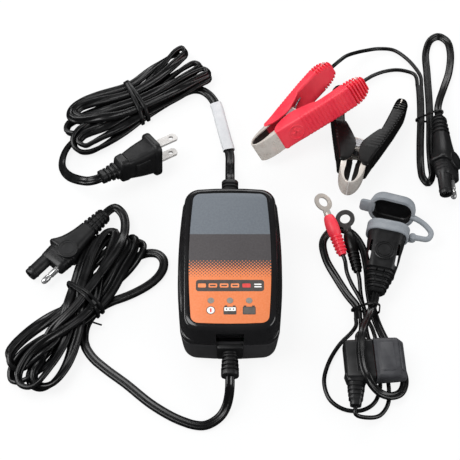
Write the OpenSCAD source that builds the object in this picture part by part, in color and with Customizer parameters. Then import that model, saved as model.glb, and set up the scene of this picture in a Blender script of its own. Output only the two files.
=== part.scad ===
// Battery charger kit: a small charger box with a mains cord and a battery cord,
// a lead with two sprung clamps, and a lead with a fuse and two ring terminals.
// Millimetres, +Z up. The origin is the middle of the charger's base, on the surface
// that the whole kit lies on; +Y runs towards the mains cord.

/* [Charger case] */
// Length of the case, end to end
case_l = 100; // [94:1:110]
// Width across the bulge of the case, at the seam
case_w = 62; // [60:1:68]
// Width of the case at its ends, at the seam
case_end_w = 58; // [56:1:59]
// Height of the case
case_h = 38; // [37:1:44]
// Height of the seam between the two shells
seam_z = 22; // [21:1:23]
// Wall of both shells
wall = 2.2; // [1.6:0.2:2.6]
// Radius of the case's corners in plan
corner_r = 9; // [6:1:11]
// Width of the raised deck that carries the label
deck_w = 51; // [48:1:52]
// How far the deck stands back from each end of the case
deck_inset = 4.7; // [3:0.1:6]
// Height of the side wings
wing_z = 29.5; // [27:0.5:32]
// How far the wings stop short of the far end
wing_short = 14; // [10:1:20]

/* [Label and lights] */
// Width of the label
label_w = 45.5; // [40:0.5:46]
// Length of the label
label_l = 88; // [80:1:89]
// Thickness of the label
label_t = 0.4; // [0.2:0.1:0.6]
// Diameter of each light
light_d = 3.7; // [3:0.1:5]
// Distance between the lights
light_pitch = 11; // [8:0.5:13]
// Distance of the lights from the near end of the case
light_y = 21; // [16:0.5:26]

/* [Circuit board and its parts] */
// Thickness of the circuit board
board_t = 1.6; // [0.8:0.2:2]
// Height of the board's underside above the base
board_z = 8; // [6:0.5:10]
// Clearance between the board and the shells
board_gap = 0.8; // [0.5:0.1:1.5]
// Height of the transformer's core
core_h = 18; // [14:1:20]
// Width of the transformer's core
core_w = 24; // [20:1:26]
// Depth of the transformer's core
core_d = 20; // [16:1:22]
// Radius of the large capacitor
cap_r = 6; // [4:0.5:7]
// Height of the large capacitor
cap_h = 17; // [12:1:20]

/* [Screws] */
// Shank diameter of the case screws
screw_d = 3; // [2.5:0.1:3.5]
// Head diameter of the case screws
screw_head_d = 5.6; // [5:0.1:6.2]
// Radius of the bosses that the screws run in
boss_r = 3.3; // [3:0.1:3.8]
// Distance of the bosses' axes from the side of the deck
boss_inset = 6.5; // [6:0.1:8]

/* [Cord bushings] */
// Length of the ribbed bushing outside the case
bush_l = 16; // [12:1:20]
// Width of the bushing at its ribs
bush_w = 10.4; // [9:0.2:12]
// Thickness of the bushing at its ribs
bush_t = 9; // [8:0.2:10]
// Height of the bushings' axis
bush_z = 14; // [12:0.5:16]
// Width of the block that the battery cord's bushing grows from
block_w = 15; // [13:0.5:17]

/* [Cords] */
// Width of the flat mains cord
ac_w = 6; // [5:0.1:6.6]
// Thickness of the flat mains cord
ac_t = 3.1; // [2.5:0.1:3.6]
// Width of the twin battery cord
dc_w = 5.6; // [5:0.1:6]
// Thickness of the twin battery cord
dc_t = 2.9; // [2.5:0.1:3]
// Width of the twin cord on the two leads
lead_w = 5; // [4.6:0.1:5.4]
// Thickness of the twin cord, and of each single wire, on the two leads
lead_t = 2.5; // [2.2:0.1:2.8]

/* [Mains plug] */
// Distance between the two blades, face to face middle
blade_pitch = 12.7;
// Width of each blade
blade_w = 6.35; // [6:0.05:6.5]
// Thickness of each blade
blade_t = 1.5; // [1.4:0.1:1.6]
// Length of the blades
blade_l = 16.5; // [15:0.5:18]
// Length of the plug's flange across the blades
flange_l = 26; // [24:0.5:28]
// Width of the plug's flange
flange_w = 19; // [17:0.5:21]

/* [Two-pole connectors] */
// Diameter of the contact pin
pin_d = 3.9; // [3.7:0.1:4.1]
// Length of the contact pin that stands out
pin_l = 13; // [11:0.5:14]
// Distance between the pin and the sleeve
contact_pitch = 9.5; // [9:0.1:10]
// Outer diameter of the sleeve
sleeve_d = 8.4; // [8:0.1:9]
// Bore of the sleeve's contact
socket_d = 4; // [3.9:0.1:4.4]
// Length of the connector from its tail to the sleeve's mouth
conn_l = 61; // [58:1:66]

/* [Clamps] */
// Reach of the jaws in front of the pivot
jaw_l = 33; // [31:0.5:35]
// Height of the jaws
jaw_h = 13.8; // [12:0.2:14]
// Height of the grips
grip_h = 15.8; // [15.4:0.2:17]
// Reach of the grips behind the pivot
grip_l = 46; // [44:0.5:48]
// Width over both grips at their rear ends
grip_span = 51.5; // [49:0.5:54]
// Sheet thickness of the levers
sheet_t = 1.4; // [1:0.1:1.8]
// Diameter of the pivot pin
pivot_d = 4; // [3:0.5:5]
// Running clearance round the pivot pin
pivot_gap = 0.06; // [0.02:0.01:0.09]

/* [Weatherproof connector] */
// Width of the connector's mouth
mouth_w = 23.4; // [23:0.2:25]
// Thickness of the connector's mouth
mouth_t = 17; // [16:0.5:18]
// Length of the connector from its tail to the mouth
weather_l = 47; // [44:1:50]
// Depth of the well inside the mouth
well_l = 15; // [14:0.5:17]
// Wall round the well
well_wall = 2; // [1.6:0.1:2.4]
// Length of the rubber collar
collar_l = 7; // [5:0.5:8]
// Depth of the rubber cap
cap_depth = 8; // [6:0.5:9]

/* [Fuse holder] */
// Length of the holder's body along the fuse's axis
holder_l = 17; // [16:0.5:18]
// Width of the holder, across the fuse's blades
holder_w = 25; // [23:0.5:27]
// Thickness of the holder
holder_t = 11.5; // [11:0.5:13]
// Length of the holder's cap
fuse_cap_l = 18.5; // [18:0.5:21]
// Width of the blade fuse
fuse_w = 19; // [18:0.1:19.5]
// Thickness of the blade fuse
fuse_t = 5; // [4.5:0.1:5.4]

/* [Ring terminals] */
// Hole of the ring terminals
ring_hole_d = 6.4; // [5.3:0.1:6.6]
// Outer diameter of the ring terminals
ring_d = 12; // [11:0.5:13]
// Sheet thickness of the ring terminals
ring_t = 1; // [0.8:0.1:1.2]
// Length of the boots
boot_l = 27; // [25:1:30]
// Diameter of the boots
boot_d = 8.2; // [7.8:0.2:8.4]

/* [Hidden] */
$fn = 48;
eps = 0.01;
touch = 0.05;

// ---- points and skins -------------------------------------------------------

// Outline of a rectangle w by t with corners of radius r, n steps to a corner
function rrect(w, t, r, n = 4) = [for (c = [0:3], k = [0:n])
  let (a = 90 * (c + k / n), sx = (c == 0 || c == 3) ? 1 : -1, sy = c < 2 ? 1 : -1)
  [sx * (w / 2 - r) + r * cos(a), sy * (t / 2 - r) + r * sin(a)]];

// Outline of a case: bulged sides, slightly bowed ends, corners of radius r
function barrel(end_hw, mid_hw, hl, r, n = 5, bow = 0.8) = let (sy = hl - bow - r)
  concat(
    [for (k = [1:n]) let (y = -sy + 2 * sy * k / (n + 1))
      [end_hw + (mid_hw - end_hw) * (1 - pow(y / sy, 2)), y]],
    [for (k = [0:n]) [end_hw - r + r * cos(90 * k / n), sy + r * sin(90 * k / n)]],
    [[0, hl]],
    [for (k = [0:n]) [r - end_hw - r * sin(90 * k / n), sy + r * cos(90 * k / n)]],
    [for (k = [1:n]) let (y = sy - 2 * sy * k / (n + 1))
      [-end_hw - (mid_hw - end_hw) * (1 - pow(y / sy, 2)), y]],
    [for (k = [0:n]) [r - end_hw - r * cos(90 * k / n), -sy - r * sin(90 * k / n)]],
    [[0, -hl]],
    [for (k = [0:n]) [end_hw - r + r * sin(90 * k / n), -sy - r * cos(90 * k / n)]]);

// One closed solid through a list of rings with the same number of points
module skin(rings) {
  n = len(rings[0]);
  m = len(rings);
  polyhedron(points = [for (r = rings) each r], faces = concat(
    [[for (i = [0:n - 1]) i]],
    [for (k = [0:m - 2], i = [0:n - 1]) [k * n + i, (k + 1) * n + (i + 1) % n, k * n + (i + 1) % n]],
    [for (k = [0:m - 2], i = [0:n - 1]) [k * n + i, (k + 1) * n + i, (k + 1) * n + (i + 1) % n]],
    [[for (i = [n - 1:-1:0]) (m - 1) * n + i]]));
}

// Skin along +X; each section is [x, width in y, thickness in z, corner radius]
module loft(sections, n = 4) skin([for (s = sections)
  [for (p = rrect(s[1], s[2], s[3], n)) [s[0], p[0], p[1]]]]);

// Stack of outlines along +Z; each level is [z, outline, shift in y]
module stack(levels) skin([for (l = levels) [for (p = l[1]) [p[0], p[1] + l[2], l[0]]]]);

// Ribs and grooves between x0 and x1, as loft sections
function ribs(x0, x1, count, w0, w1, t0, t1, groove) = let (p = (x1 - x0) / count)
  [for (k = [0:count - 1], s = [0:3]) let (f = k / (count - 1),
    w = w0 + (w1 - w0) * f, t = t0 + (t1 - t0) * f, g = (s == 1 || s == 2) ? 0 : groove,
    x = x0 + p * (k + [0.02, 0.2, 0.62, 0.8][s]))
    [x, w - 2 * g, t - 2 * g, (t - 2 * g) * 0.42]];

function unit(v) = v / norm(v);
function tangent(p, i) = unit(i == 0 ? p[1] - p[0]
  : i == len(p) - 1 ? p[i] - p[i - 1] : p[i + 1] - p[i - 1]);

// Tube of an oval w by t, eight sides, along the route's own points
module tube(route, w, t) skin([for (i = [0:len(route) - 1])
  let (d = tangent(route, i), side = unit(cross([0, 0, 1], d)), up = cross(d, side))
  [for (k = [0:7]) route[i] + side * cos(45 * k + 22.5) * w / 2 / cos(22.5)
    + up * sin(45 * k + 22.5) * t / 2 / cos(22.5)]]);

// Smooth closed outline through a few points
function round_outline(p, steps = 5) = let (n = len(p)) [for (i = [0:n - 1], k = [0:steps - 1])
  let (a = p[(i + n - 1) % n], b = p[i], c = p[(i + 1) % n], d = p[(i + 2) % n], u = k / steps)
  (2 * b + (c - a) * u + (2 * a - 5 * b + 4 * c - d) * u * u
    + (3 * b - a - 3 * c + d) * u * u * u) / 2];

function rot_x(a, p) = [p[0], p[1] * cos(a) - p[2] * sin(a), p[1] * sin(a) + p[2] * cos(a)];
function rot_y(a, p) = [p[0] * cos(a) + p[2] * sin(a), p[1], p[2] * cos(a) - p[0] * sin(a)];
function rot_z(a, p) = [p[0] * cos(a) - p[1] * sin(a), p[0] * sin(a) + p[1] * cos(a), p[2]];
// Where a point of a placed piece is
function world(pos, rpy, p) = pos + rot_z(rpy[2], rot_y(rpy[1], rot_x(rpy[0], p)));
module place(pos, rpy) translate(pos) rotate(rpy) children();

// ---- where the loose pieces lie ----------------------------------------------

plug_pos = [-80.4, 65.8, 20.1];
plug_rpy = [-10, 9.5, 34.6];
dc_conn_pos = [-78, 47, 6.6];
dc_conn_rpy = [0, 0, -131];
clamp_conn_pos = [135.6, 117.5, 11.2];
clamp_conn_rpy = [-50, 0, -88];
red_pos = [41.8, 111.6, 16.8];
red_rpy = [34, 11.6, -140];
black_pos = [81.3, 92.1, grip_h / 2 + 4.5];
black_rpy = [-1, -5.4, -104.4];
weather_pos = [87.5, -10, mouth_t / 2 + 1.2];
weather_rpy = [0, 0, 77];
holder_pos = [83.6, -54.4, holder_t / 2 + 4.6];
holder_rpy = [0, 0, 3];
red_boot_pos = [60.8, 42.4, 12.6];
red_boot_rpy = [24, -8.2, 107.8];
black_boot_pos = [73.4, 34.4, 5.8];
black_boot_rpy = [-12, -4, 100];

gland_at = [-holder_l + 6, -holder_w / 2 + 3, 0];
wire_at = [-grip_l, -grip_span / 2 + 5.2, 0];

// ---- charger ------------------------------------------------------------------

case_hl = case_l / 2;
case_hw = case_w / 2;
end_hw = case_end_w / 2;
deck_hw = deck_w / 2;
deck_hl = case_hl - deck_inset;
deck_flare = 2;
base_draft = 1.4;
edge_r = 2.2;
wing_hl = (case_l - wing_short - 3) / 2;
wing_y = wing_hl - case_hl + 3;
board_top = board_z + board_t;
boss_x = deck_hw + deck_flare - wall - boss_inset;
boss_y = deck_hl - boss_inset - 4;
BOSSES = [for (sx = [-1, 1], sy = [-1, 1]) [sx * boss_x, sy * boss_y]];
screw_sink = 3;
screw_top = case_h - wall - 4;
board_hole_gap = 0.3;
light_x = [-light_pitch, 0, light_pitch];
light_py = light_y - case_hl;
led_t = 1.6;
seat = 1.2;
pocket_w = block_w + 1;
pocket_d = 1.5;
pocket_h = 11.5;
slot_w = 8;
bush_neck_t = 10;
flange_in = 1.8;
clear = 0.15;

// Outer levels of the deck block; d is how far they are drawn in for the inner face
function deck_levels(d, top) = [
  [seam_z, barrel(end_hw - 0.6 - d, end_hw + 0.2 - d, case_hl - d, corner_r + 1 - d / 2), 0],
  [seam_z + 11, barrel(deck_hw + deck_flare - d, deck_hw + deck_flare + 0.6 - d, deck_hl + 3.2 - d, corner_r - d / 2), 0],
  [top - 2.2, barrel(deck_hw + 1.6 - d, deck_hw + 2.2 - d, deck_hl + 2 - d, corner_r - d / 2), 0],
  [top - 0.7, barrel(deck_hw + 0.9 - d, deck_hw + 1.4 - d, deck_hl + 1.2 - d, corner_r - d / 2), 0],
  [top, barrel(deck_hw - d, deck_hw + 0.5 - d, deck_hl - d, corner_r - 1 - d / 2), 0]];

function wing_levels(d, top) = [
  [seam_z, barrel(end_hw - 0.2 - d, case_hw - d, wing_hl - d, corner_r - 2), wing_y],
  [top - 2.5, barrel(end_hw - 0.6 - d, case_hw - 0.5 - d, wing_hl - 0.8 - d, corner_r - 2), wing_y],
  [top - 0.8, barrel(end_hw - 1.2 - d, case_hw - 1.2 - d, wing_hl - 1.6 - d, corner_r - 2), wing_y],
  [top, barrel(end_hw - 2.6 - d, case_hw - 2.8 - d, wing_hl - 3 - d, corner_r - 3), wing_y]];

function skirt_levels(d) = [
  [seam_z, barrel(end_hw - d, case_hw - d, case_hl - d, corner_r - d / 2), 0],
  [seam_z + 2, barrel(end_hw - 0.1 - d, case_hw - 0.1 - d, case_hl - 0.1 - d, corner_r - d / 2), 0],
  [seam_z + 3.2, barrel(end_hw - 1.2 - d, case_hw - 1.2 - d, case_hl - 1.2 - d, corner_r - 1 - d / 2), 0]];

module below_seam(d) translate([-case_w, -case_l, seam_z - d]) cube([2 * case_w, 2 * case_l, d]);

module case_top() color("#151516") difference() {
  union() {
    difference() {
      union() {
        stack(deck_levels(0, case_h));
        stack(wing_levels(0, wing_z));
        stack(skirt_levels(0));
      }
      translate([0, 0, -eps]) {
        stack(deck_levels(wall, case_h - wall));
        stack(wing_levels(wall, wing_z - wall));
      }
    }
    for (b = BOSSES) translate([b[0], b[1], seam_z]) cylinder(r = boss_r, h = case_h - wall - seam_z + touch);
    translate([-pocket_w / 2 - wall, -deck_hl, seam_z]) cube([pocket_w + 2 * wall, pocket_d + wall, pocket_h + wall]);
  }
  for (b = BOSSES) translate([b[0], b[1], seam_z - eps]) cylinder(d = screw_d - 0.02, h = screw_top - seam_z);
  translate([0, 0, case_h - label_t + case_h / 2]) cube([label_w + 2 * clear, label_l + 2 * clear, case_h], center = true);
  for (x = light_x) translate([x, light_py, case_h - wall - 1]) cylinder(d = light_d + 0.1, h = wall + 2);
  // deep recess over the battery cord's bushing
  translate([-pocket_w / 2, -case_hl - 1, seam_z - eps]) cube([pocket_w, 1 + deck_inset + pocket_d, pocket_h]);
  bushing_slot(-1);
  bushing_slot(1);
}

// Slot in an end wall, from the seam down, that holds a bushing's neck
module bushing_slot(end) {
  translate([-slot_w / 2, end > 0 ? case_hl - 2 * wall - 2 : -case_hl - 1, bush_z - bush_neck_t / 2])
    cube([slot_w, 2 * wall + 3, bush_neck_t]);
}

module case_bottom() color("#1b1b1c") difference() {
  union() {
    difference() {
      stack([
        [0, barrel(end_hw - base_draft - edge_r, case_hw - base_draft - edge_r, case_hl - base_draft / 2 - edge_r, corner_r - 1), 0],
        [edge_r * 0.3, barrel(end_hw - base_draft - edge_r * 0.3, case_hw - base_draft - edge_r * 0.3, case_hl - base_draft / 2 - edge_r * 0.3, corner_r), 0],
        [edge_r, barrel(end_hw - base_draft, case_hw - base_draft, case_hl - base_draft / 2, corner_r), 0],
        [seam_z, barrel(end_hw, case_hw, case_hl, corner_r), 0]]);
      stack([
        [wall, barrel(end_hw - base_draft - edge_r - 0.4, case_hw - base_draft - edge_r - 0.4, case_hl - base_draft / 2 - edge_r - 0.4, corner_r - 2), 0],
        [seam_z + eps, barrel(end_hw - wall, case_hw - wall, case_hl - wall, corner_r - wall / 2), 0]]);
    }
    for (b = BOSSES) translate([b[0], b[1], wall - touch]) {
      cylinder(r = boss_r, h = seam_z - wall + touch);
      cylinder(r = boss_r + 1.2, h = board_z - wall + touch);
    }
  }
  for (b = BOSSES) translate([b[0], b[1], -eps]) {
    cylinder(d = screw_d + 0.3, h = seam_z + 1);
    cylinder(d = screw_head_d + 0.6, h = screw_sink);
  }
  // flat seats for the outer blocks of the two bushings
  translate([-block_w / 2 - clear, -case_hl - 1, bush_z - block_w / 2 - clear])
    cube([block_w + 2 * clear, 1 + seat, block_w + 2 * clear]);
  bushing_slot(-1);
  bushing_slot(1);
}

module case_screws() color("#8d9094") for (b = BOSSES) translate([b[0], b[1], 0]) {
  translate([0, 0, screw_sink - 2.25]) cylinder(d = screw_head_d, h = 2.2);
  translate([0, 0, screw_sink - 1]) cylinder(d = screw_d - 0.06, h = screw_top - screw_sink);
}

module front_label() color("#f07a3c") difference() {
  translate([0, 0, case_h - label_t]) linear_extrude(label_t) polygon(rrect(label_w, label_l, 3.5));
  for (x = light_x) translate([x, light_py, case_h - 2 * label_t]) cylinder(d = light_d + 0.1, h = 3 * label_t);
}

module status_lights() color("#8c8c8a") for (x = light_x) translate([x, light_py, 0]) {
  translate([0, 0, board_top + led_t + 0.2]) cylinder(d = light_d, h = case_h - board_top - led_t - 0.2);
  translate([0, 0, case_h - wall - 1]) cylinder(d = light_d + 1.6, h = 0.9);
}

board_hw = end_hw - wall - base_draft - board_gap;
board_hl = case_hl - wall - base_draft - board_gap - flange_in;
module circuit_board() color("#1f6b3a") difference() {
  translate([0, 0, board_z]) linear_extrude(board_t) polygon(rrect(2 * board_hw, 2 * board_hl, 5));
  for (b = BOSSES) translate([b[0], b[1], board_z - 1]) cylinder(r = boss_r + board_hole_gap, h = board_t + 2);
}

core_y = 12;
leg = core_w * 0.14;
window_w = (core_w - 4 * leg) / 2;
module transformer_core() color("#3a3a3c") translate([0, core_y, board_top + core_h / 2]) difference() {
  cube([core_w, core_d, core_h], center = true);
  for (s = [-1, 1]) translate([s * (leg + window_w / 2), 0, 0])
    cube([window_w, core_d + 2, core_h - 2 * leg], center = true);
}
module transformer_winding() color("#c9a227") translate([0, core_y, board_top + core_h / 2]) difference() {
  cube([2 * (leg + window_w) - 0.2, core_d + 7, core_h - 2 * leg - 0.2], center = true);
  cube([2 * leg + 0.2, core_d + 0.2, core_h], center = true);
}
module capacitors() color("#2b3a63") translate([0, 0, board_top]) {
  translate([-11, core_y - core_d / 2 - cap_r - 5, 0]) cylinder(r = cap_r, h = cap_h);
  translate([11, core_y - core_d / 2 - cap_r - 5, 0]) cylinder(r = cap_r * 0.75, h = cap_h * 0.75);
  translate([0, core_y + core_d / 2 + cap_r + 5, 0]) cylinder(r = cap_r * 0.8, h = cap_h * 0.7);
}

// Ribbed bushing along +X from the wall's outer face at x = 0, with its neck and inner flange
module bushing(w, t, seat_x) {
  loft(concat([[seat_x, w * 0.86, t * 0.92, t * 0.4], [seat_x + 3, w * 0.84, t * 0.9, t * 0.4]],
    ribs(seat_x + 3.4, bush_l - 3, 4, w * 0.9, w, t * 0.92, t, 1),
    [[bush_l - 2.6, w, t, t * 0.42], [bush_l - 0.6, w, t, t * 0.42], [bush_l, w - 1, t - 1, t * 0.36]]));
}
module bushing_neck(inner, outer) {
  translate([inner, -slot_w / 2 + clear, -bush_neck_t / 2 + clear])
    cube([outer - inner, slot_w - 2 * clear, bush_neck_t - 2 * clear]);
  translate([inner - flange_in + touch, -slot_w / 2 - 2, -bush_neck_t / 2 - 1]) cube([flange_in, slot_w + 4, bush_neck_t + 2]);
}
module ac_bushing() color("#1a1a1b") place([0, case_hl, bush_z], [0, 0, 90]) {
  bushing(bush_w, bush_t, -0.15);
  bushing_neck(-wall - 1.3, touch * 2);
}
module dc_bushing() color("#1a1a1b") place([0, -case_hl, bush_z], [0, 0, -90]) {
  bushing(bush_w, bush_t, 0);
  translate([-seat, -block_w / 2, -block_w / 2]) cube([seat + 1.6, block_w, block_w]);
  bushing_neck(-wall - 1.3, 0);
}

// ---- cords of the charger -------------------------------------------------------

ac_z = ac_t / 2 + 0.2;
AC_LEAD = [[0, case_hl + bush_l, bush_z], [0, 70, bush_z], [0, 76.5, 9.5], [0, 83, 4.6],
  [0, 89, 2.6], [-0.2, 95, 2.4], [-3.2, 108, 2.4], [-6.4, 122, 2.4], [-9.6, 136, 2.4], [-13, 144.5, 2.2], [-17.2, 152, 2.2]];
AC_TAIL = [[-99, 107.2, 2.6], [-104, 101.6, 2.2], [-107, 95, 1.8], [-108, 87.4, 2.6], [-105.6, 79.4, 5.2], [-100.4, 71.8, 9.4],
  [-94.4, 65.4, 14.8], [-89.4, 62.2, 19], world(plug_pos, plug_rpy, [-5, 0, 0]), plug_pos];
AC_HANK = [[-109, 116], [-103, 131], [-88, 141], [-69.5, 147.5], [-51, 162], [-37, 177.4], [-28, 178],
  [-19.4, 168], [-12.6, 158], [-18, 148], [-33, 134], [-53.5, 118.5], [-64, 112], [-76, 99], [-88, 89.5],
  [-96, 93], [-99, 103]];
AC_HANK_H = 13;
module ac_cord_lead() color("#1c1c1d") tube(AC_LEAD, ac_w, ac_t);
module ac_cord_tail() color("#1c1c1d") tube(AC_TAIL, ac_w, ac_t);
module hank(outline, h, z0 = 0) translate([0, 0, z0]) linear_extrude(h) polygon(round_outline(outline));
module ac_cord_hank() color("#1c1c1d") hank(AC_HANK, AC_HANK_H);
sleeve_l = 39;
module ac_cord_sleeve() color("white") place([-4.9, 115.5, 2.4], [0, 0, 102.9]) difference() {
  loft([for (x = [-sleeve_l / 2, sleeve_l / 2]) [x, ac_w + 1.9, ac_t + 1.4, 1.8]]);
  loft([for (x = [-sleeve_l, sleeve_l]) [x, ac_w + 0.7, ac_t + 0.5, 1.2]]);
}

// Band round a hank: middle, direction that the hank runs, width inside and height
module band(x, y, yaw, w, h, width = 3, thick = 1.3) place([x, y, 0], [0, 0, yaw])
  rotate([90, 0, 90]) translate([0, h / 2, -width / 2]) linear_extrude(width) difference() {
    polygon(rrect(w, h, h * 0.4, 6));
    polygon(rrect(w - 2 * thick, h - 2 * thick, h * 0.4 - thick, 6));
  }
module ac_cord_tie() color("#202021") band(-61.5, 133, 28, 38, AC_HANK_H + 1.6);

plug_l = 40;
flange_t = 3.6;
module ac_plug() color("#1d1d1e") place(plug_pos, plug_rpy) difference() {
  loft(concat([[0, 8.6, 6.6, 2.4], [2.5, 8.8, 6.8, 2.4]], ribs(2.8, 12, 3, 9.2, 11.5, 7.2, 9, 1),
    [[13, 9.5, 12, 3], [14, 11, 16.5, 3], [18, 11.5, 17, 3], [18.6, 12, 15, 3], [26, 14.5, 18, 3.4],
     [plug_l - flange_t - 1, 15.5, 21, 3.6], [plug_l - flange_t, flange_w - 1, flange_l - 1, 4.5],
     [plug_l - flange_t + 0.6, flange_w, flange_l, 5], [plug_l - 0.6, flange_w, flange_l, 5],
     [plug_l, flange_w - 1, flange_l - 1, 4.5]]));
  for (s = [-1, 1]) translate([plug_l - blade_in, 0, s * blade_pitch / 2])
    translate([0, -blade_w / 2, -blade_t / 2]) cube([blade_in + 1, blade_w, blade_t]);
}
blade_in = 12;
module plug_blades() color("#d9d6d0") place(plug_pos, plug_rpy) for (s = [-1, 1])
  translate([plug_l - blade_in, 0, s * blade_pitch / 2]) difference() {
    translate([0, 0, -blade_t / 2]) linear_extrude(blade_t) polygon([[0, -blade_w / 2],
      [blade_in + blade_l - 1.6, -blade_w / 2], [blade_in + blade_l, -blade_w / 2 + 1.6],
      [blade_in + blade_l, blade_w / 2 - 1.6], [blade_in + blade_l - 1.6, blade_w / 2], [0, blade_w / 2]]);
    translate([blade_in + blade_l - 4.2, 0, -blade_t]) cylinder(d = 3, h = 2 * blade_t);
  }

dc_z = dc_t / 2 + 0.2;
DC_LEAD = [[0, -case_hl - bush_l, bush_z], [0, -70, bush_z], [-0.5, -75, 9], [-2, -80, 4.5],
  [-6, -86, 2], [-15, -91, 1.7], [-27, -88.5, 1.7], [-44, -79, 1.7], [-61, -65, 1.7],
  [-74, -55, 1.7], [-82, -47.4, 1.8], [-87, -41, 2.4]];
DC_LOOP = [[-75.5, -12.6, 2.6], [-66, -9.5, 1.9], [-54, -4, 1.7], [-45, 2, 1.7], [-39, 10, 1.7],
  [-38.5, 18, 1.7], [-43, 24, 1.9], [-52, 26, 2.6]];
DC_TAIL = [[-66, 34, 6], [-65.6, 40, 6.6], [-67, 46, 6.8], [-70, 50.4, 6.8], world(dc_conn_pos, dc_conn_rpy, [-5, 0, 0]), dc_conn_pos];
DC_HANK = [[-79, 33], [-84.5, 25], [-88.6, 16], [-94, 5], [-99.6, -4], [-112, -13], [-126, -26], [-134, -44],
  [-131, -63], [-120, -72], [-103, -70], [-91, -56], [-85, -38], [-79, -22], [-72, -10], [-55, 9],
  [-51, 22], [-56, 32], [-66, 37]];
DC_HANK_H = 14;
module dc_cord_lead() color("#1c1c1d") tube(DC_LEAD, dc_w, dc_t);
module dc_cord_loop() color("#1c1c1d") tube(DC_LOOP, dc_w, dc_t);
module dc_cord_hank() color("#1c1c1d") hank(DC_HANK, DC_HANK_H);
module dc_cord_tail() color("#1c1c1d") tube(DC_TAIL, dc_w, dc_t);
module dc_cord_tie() color("#2a2a2b") band(-87, -12, 48, 33, DC_HANK_H + 1.6, 2.4, 1.2);

// ---- two-pole connector ----------------------------------------------------------

// Along +X from the tail; the sleeve is on the -Y side and the pin on the +Y side
guard_x = conn_l - 25;
front_x = conn_l - 14;
CONN_BODY = concat([[0, 8.6, 7, 2.6], [1.6, 9.6, 8, 3]], ribs(1.8, 14, 4, 10, 11.6, 8.4, 9.4, 1),
  [[14.6, 11.4, 9.2, 3.6], [22, 13.2, 10, 4], [30, 17, 11.2, 4.4], [guard_x - 3, 21.4, 12.4, 4.6],
   [guard_x + 0.6, 23, 13, 4.8], [guard_x + 1.2, 22.2, 12.2, 4.6], [guard_x + 1.3, 18.4, 10.4, 4],
   [front_x - 6, 18.2, 10.2, 4], [front_x - 5.8, 17.8, 9.8, 4], [front_x, 17.6, 9.6, 4]]);
module connector_body() difference() {
  union() {
    loft(CONN_BODY);
    translate([front_x - touch, -contact_pitch / 2, 0]) rotate([0, 90, 0]) cylinder(d = sleeve_d, h = conn_l - front_x + touch);
  }
  translate([front_x - 4, -contact_pitch / 2, 0]) rotate([0, 90, 0]) cylinder(d = socket_d + 1.6, h = conn_l);
  translate([front_x - 6, contact_pitch / 2, 0]) rotate([0, 90, 0]) cylinder(d = pin_d - 1, h = conn_l);
}
module connector_contacts() {
  translate([front_x - 6, contact_pitch / 2, 0]) rotate([0, 90, 0]) cylinder(d = pin_d - 1, h = 6 + touch);
  translate([front_x, contact_pitch / 2, 0]) rotate([0, 90, 0]) cylinder(d = pin_d, h = pin_l - 1);
  translate([front_x + pin_l - 1 - touch, contact_pitch / 2, 0]) rotate([0, 90, 0]) cylinder(d1 = pin_d, d2 = pin_d * 0.6, h = 1);
  translate([front_x - 4, -contact_pitch / 2, 0]) rotate([0, 90, 0]) difference() {
    cylinder(d = socket_d + 1.6, h = conn_l - front_x + 4 - 2.5);
    translate([0, 0, 1]) cylinder(d = socket_d, h = conn_l);
  }
}
module dc_connector() color("#212122") place(dc_conn_pos, dc_conn_rpy) connector_body();
module dc_contacts() color("#cfd0d2") place(dc_conn_pos, dc_conn_rpy) connector_contacts();
module clamp_connector() color("#212122") place(clamp_conn_pos, clamp_conn_rpy) connector_body();
module clamp_contacts() color("#cfd0d2") place(clamp_conn_pos, clamp_conn_rpy) connector_contacts();

// ---- clamp lead --------------------------------------------------------------------

CLAMP_CORD = [[126.5, 150, 1.6], [126.5, 144, 1.6], [126.2, 135, 1.6], [125.4, 122, 1.6], [123.4, 100, 1.5], [122.6, 84, 1.5],
  [123.2, 77, 1.5], [126.1, 72.8, 1.5], [129, 77, 1.5], [129.4, 87, 1.5], [129.8, 101, 1.5], [131.2, 120, 1.6], [132, 138, 1.6],
  [132.4, 160, 1.5], [133, 178, 1.5], [137, 188, 1.5], [142.6, 191, 1.5], [148, 187, 1.5], [149.6, 178, 1.5],
  [147.4, 162, 1.6], [142, 146, 3.6], [137.6, 133, 8.4], world(clamp_conn_pos, clamp_conn_rpy, [-6, 0, 0]), clamp_conn_pos];
RED_WIRE = [world(red_pos, red_rpy, wire_at), world(red_pos, red_rpy, wire_at - [6, 0, 0]), [77, 164.6, 14.6], [84, 171, 10],
  [92, 176.6, 5.4], [101, 180.4, 2.4], [111, 180, 1.5], [119, 173.4, 1.5], [124.8, 165, 1.5], [127.9, 157.6, 1.6], [127.9, 150, 1.6]];
BLACK_WIRE = [world(black_pos, black_rpy, wire_at), world(black_pos, black_rpy, wire_at - [5, 0, 0]), [77.4, 152, 5.6],
  [84.4, 156.6, 3.4], [93, 160, 1.8], [103, 162.4, 1.5], [112.4, 163, 1.5], [119.6, 161.6, 1.5], [123.9, 159.4, 1.5], [125.1, 155.6, 1.6], [125.1, 150, 1.6]];
module clamp_cord() color("#1c1c1d") tube(CLAMP_CORD, lead_w, lead_t);
module clamp_red_wire() color("#1c1c1d") tube(RED_WIRE, lead_t, lead_t);
module clamp_black_wire() color("#1c1c1d") tube(BLACK_WIRE, lead_t, lead_t);
module clamp_cord_tie() color("#2a2a2b") band(131, 121.6, 90, 17, 14.4, 1.6, 1);

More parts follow.
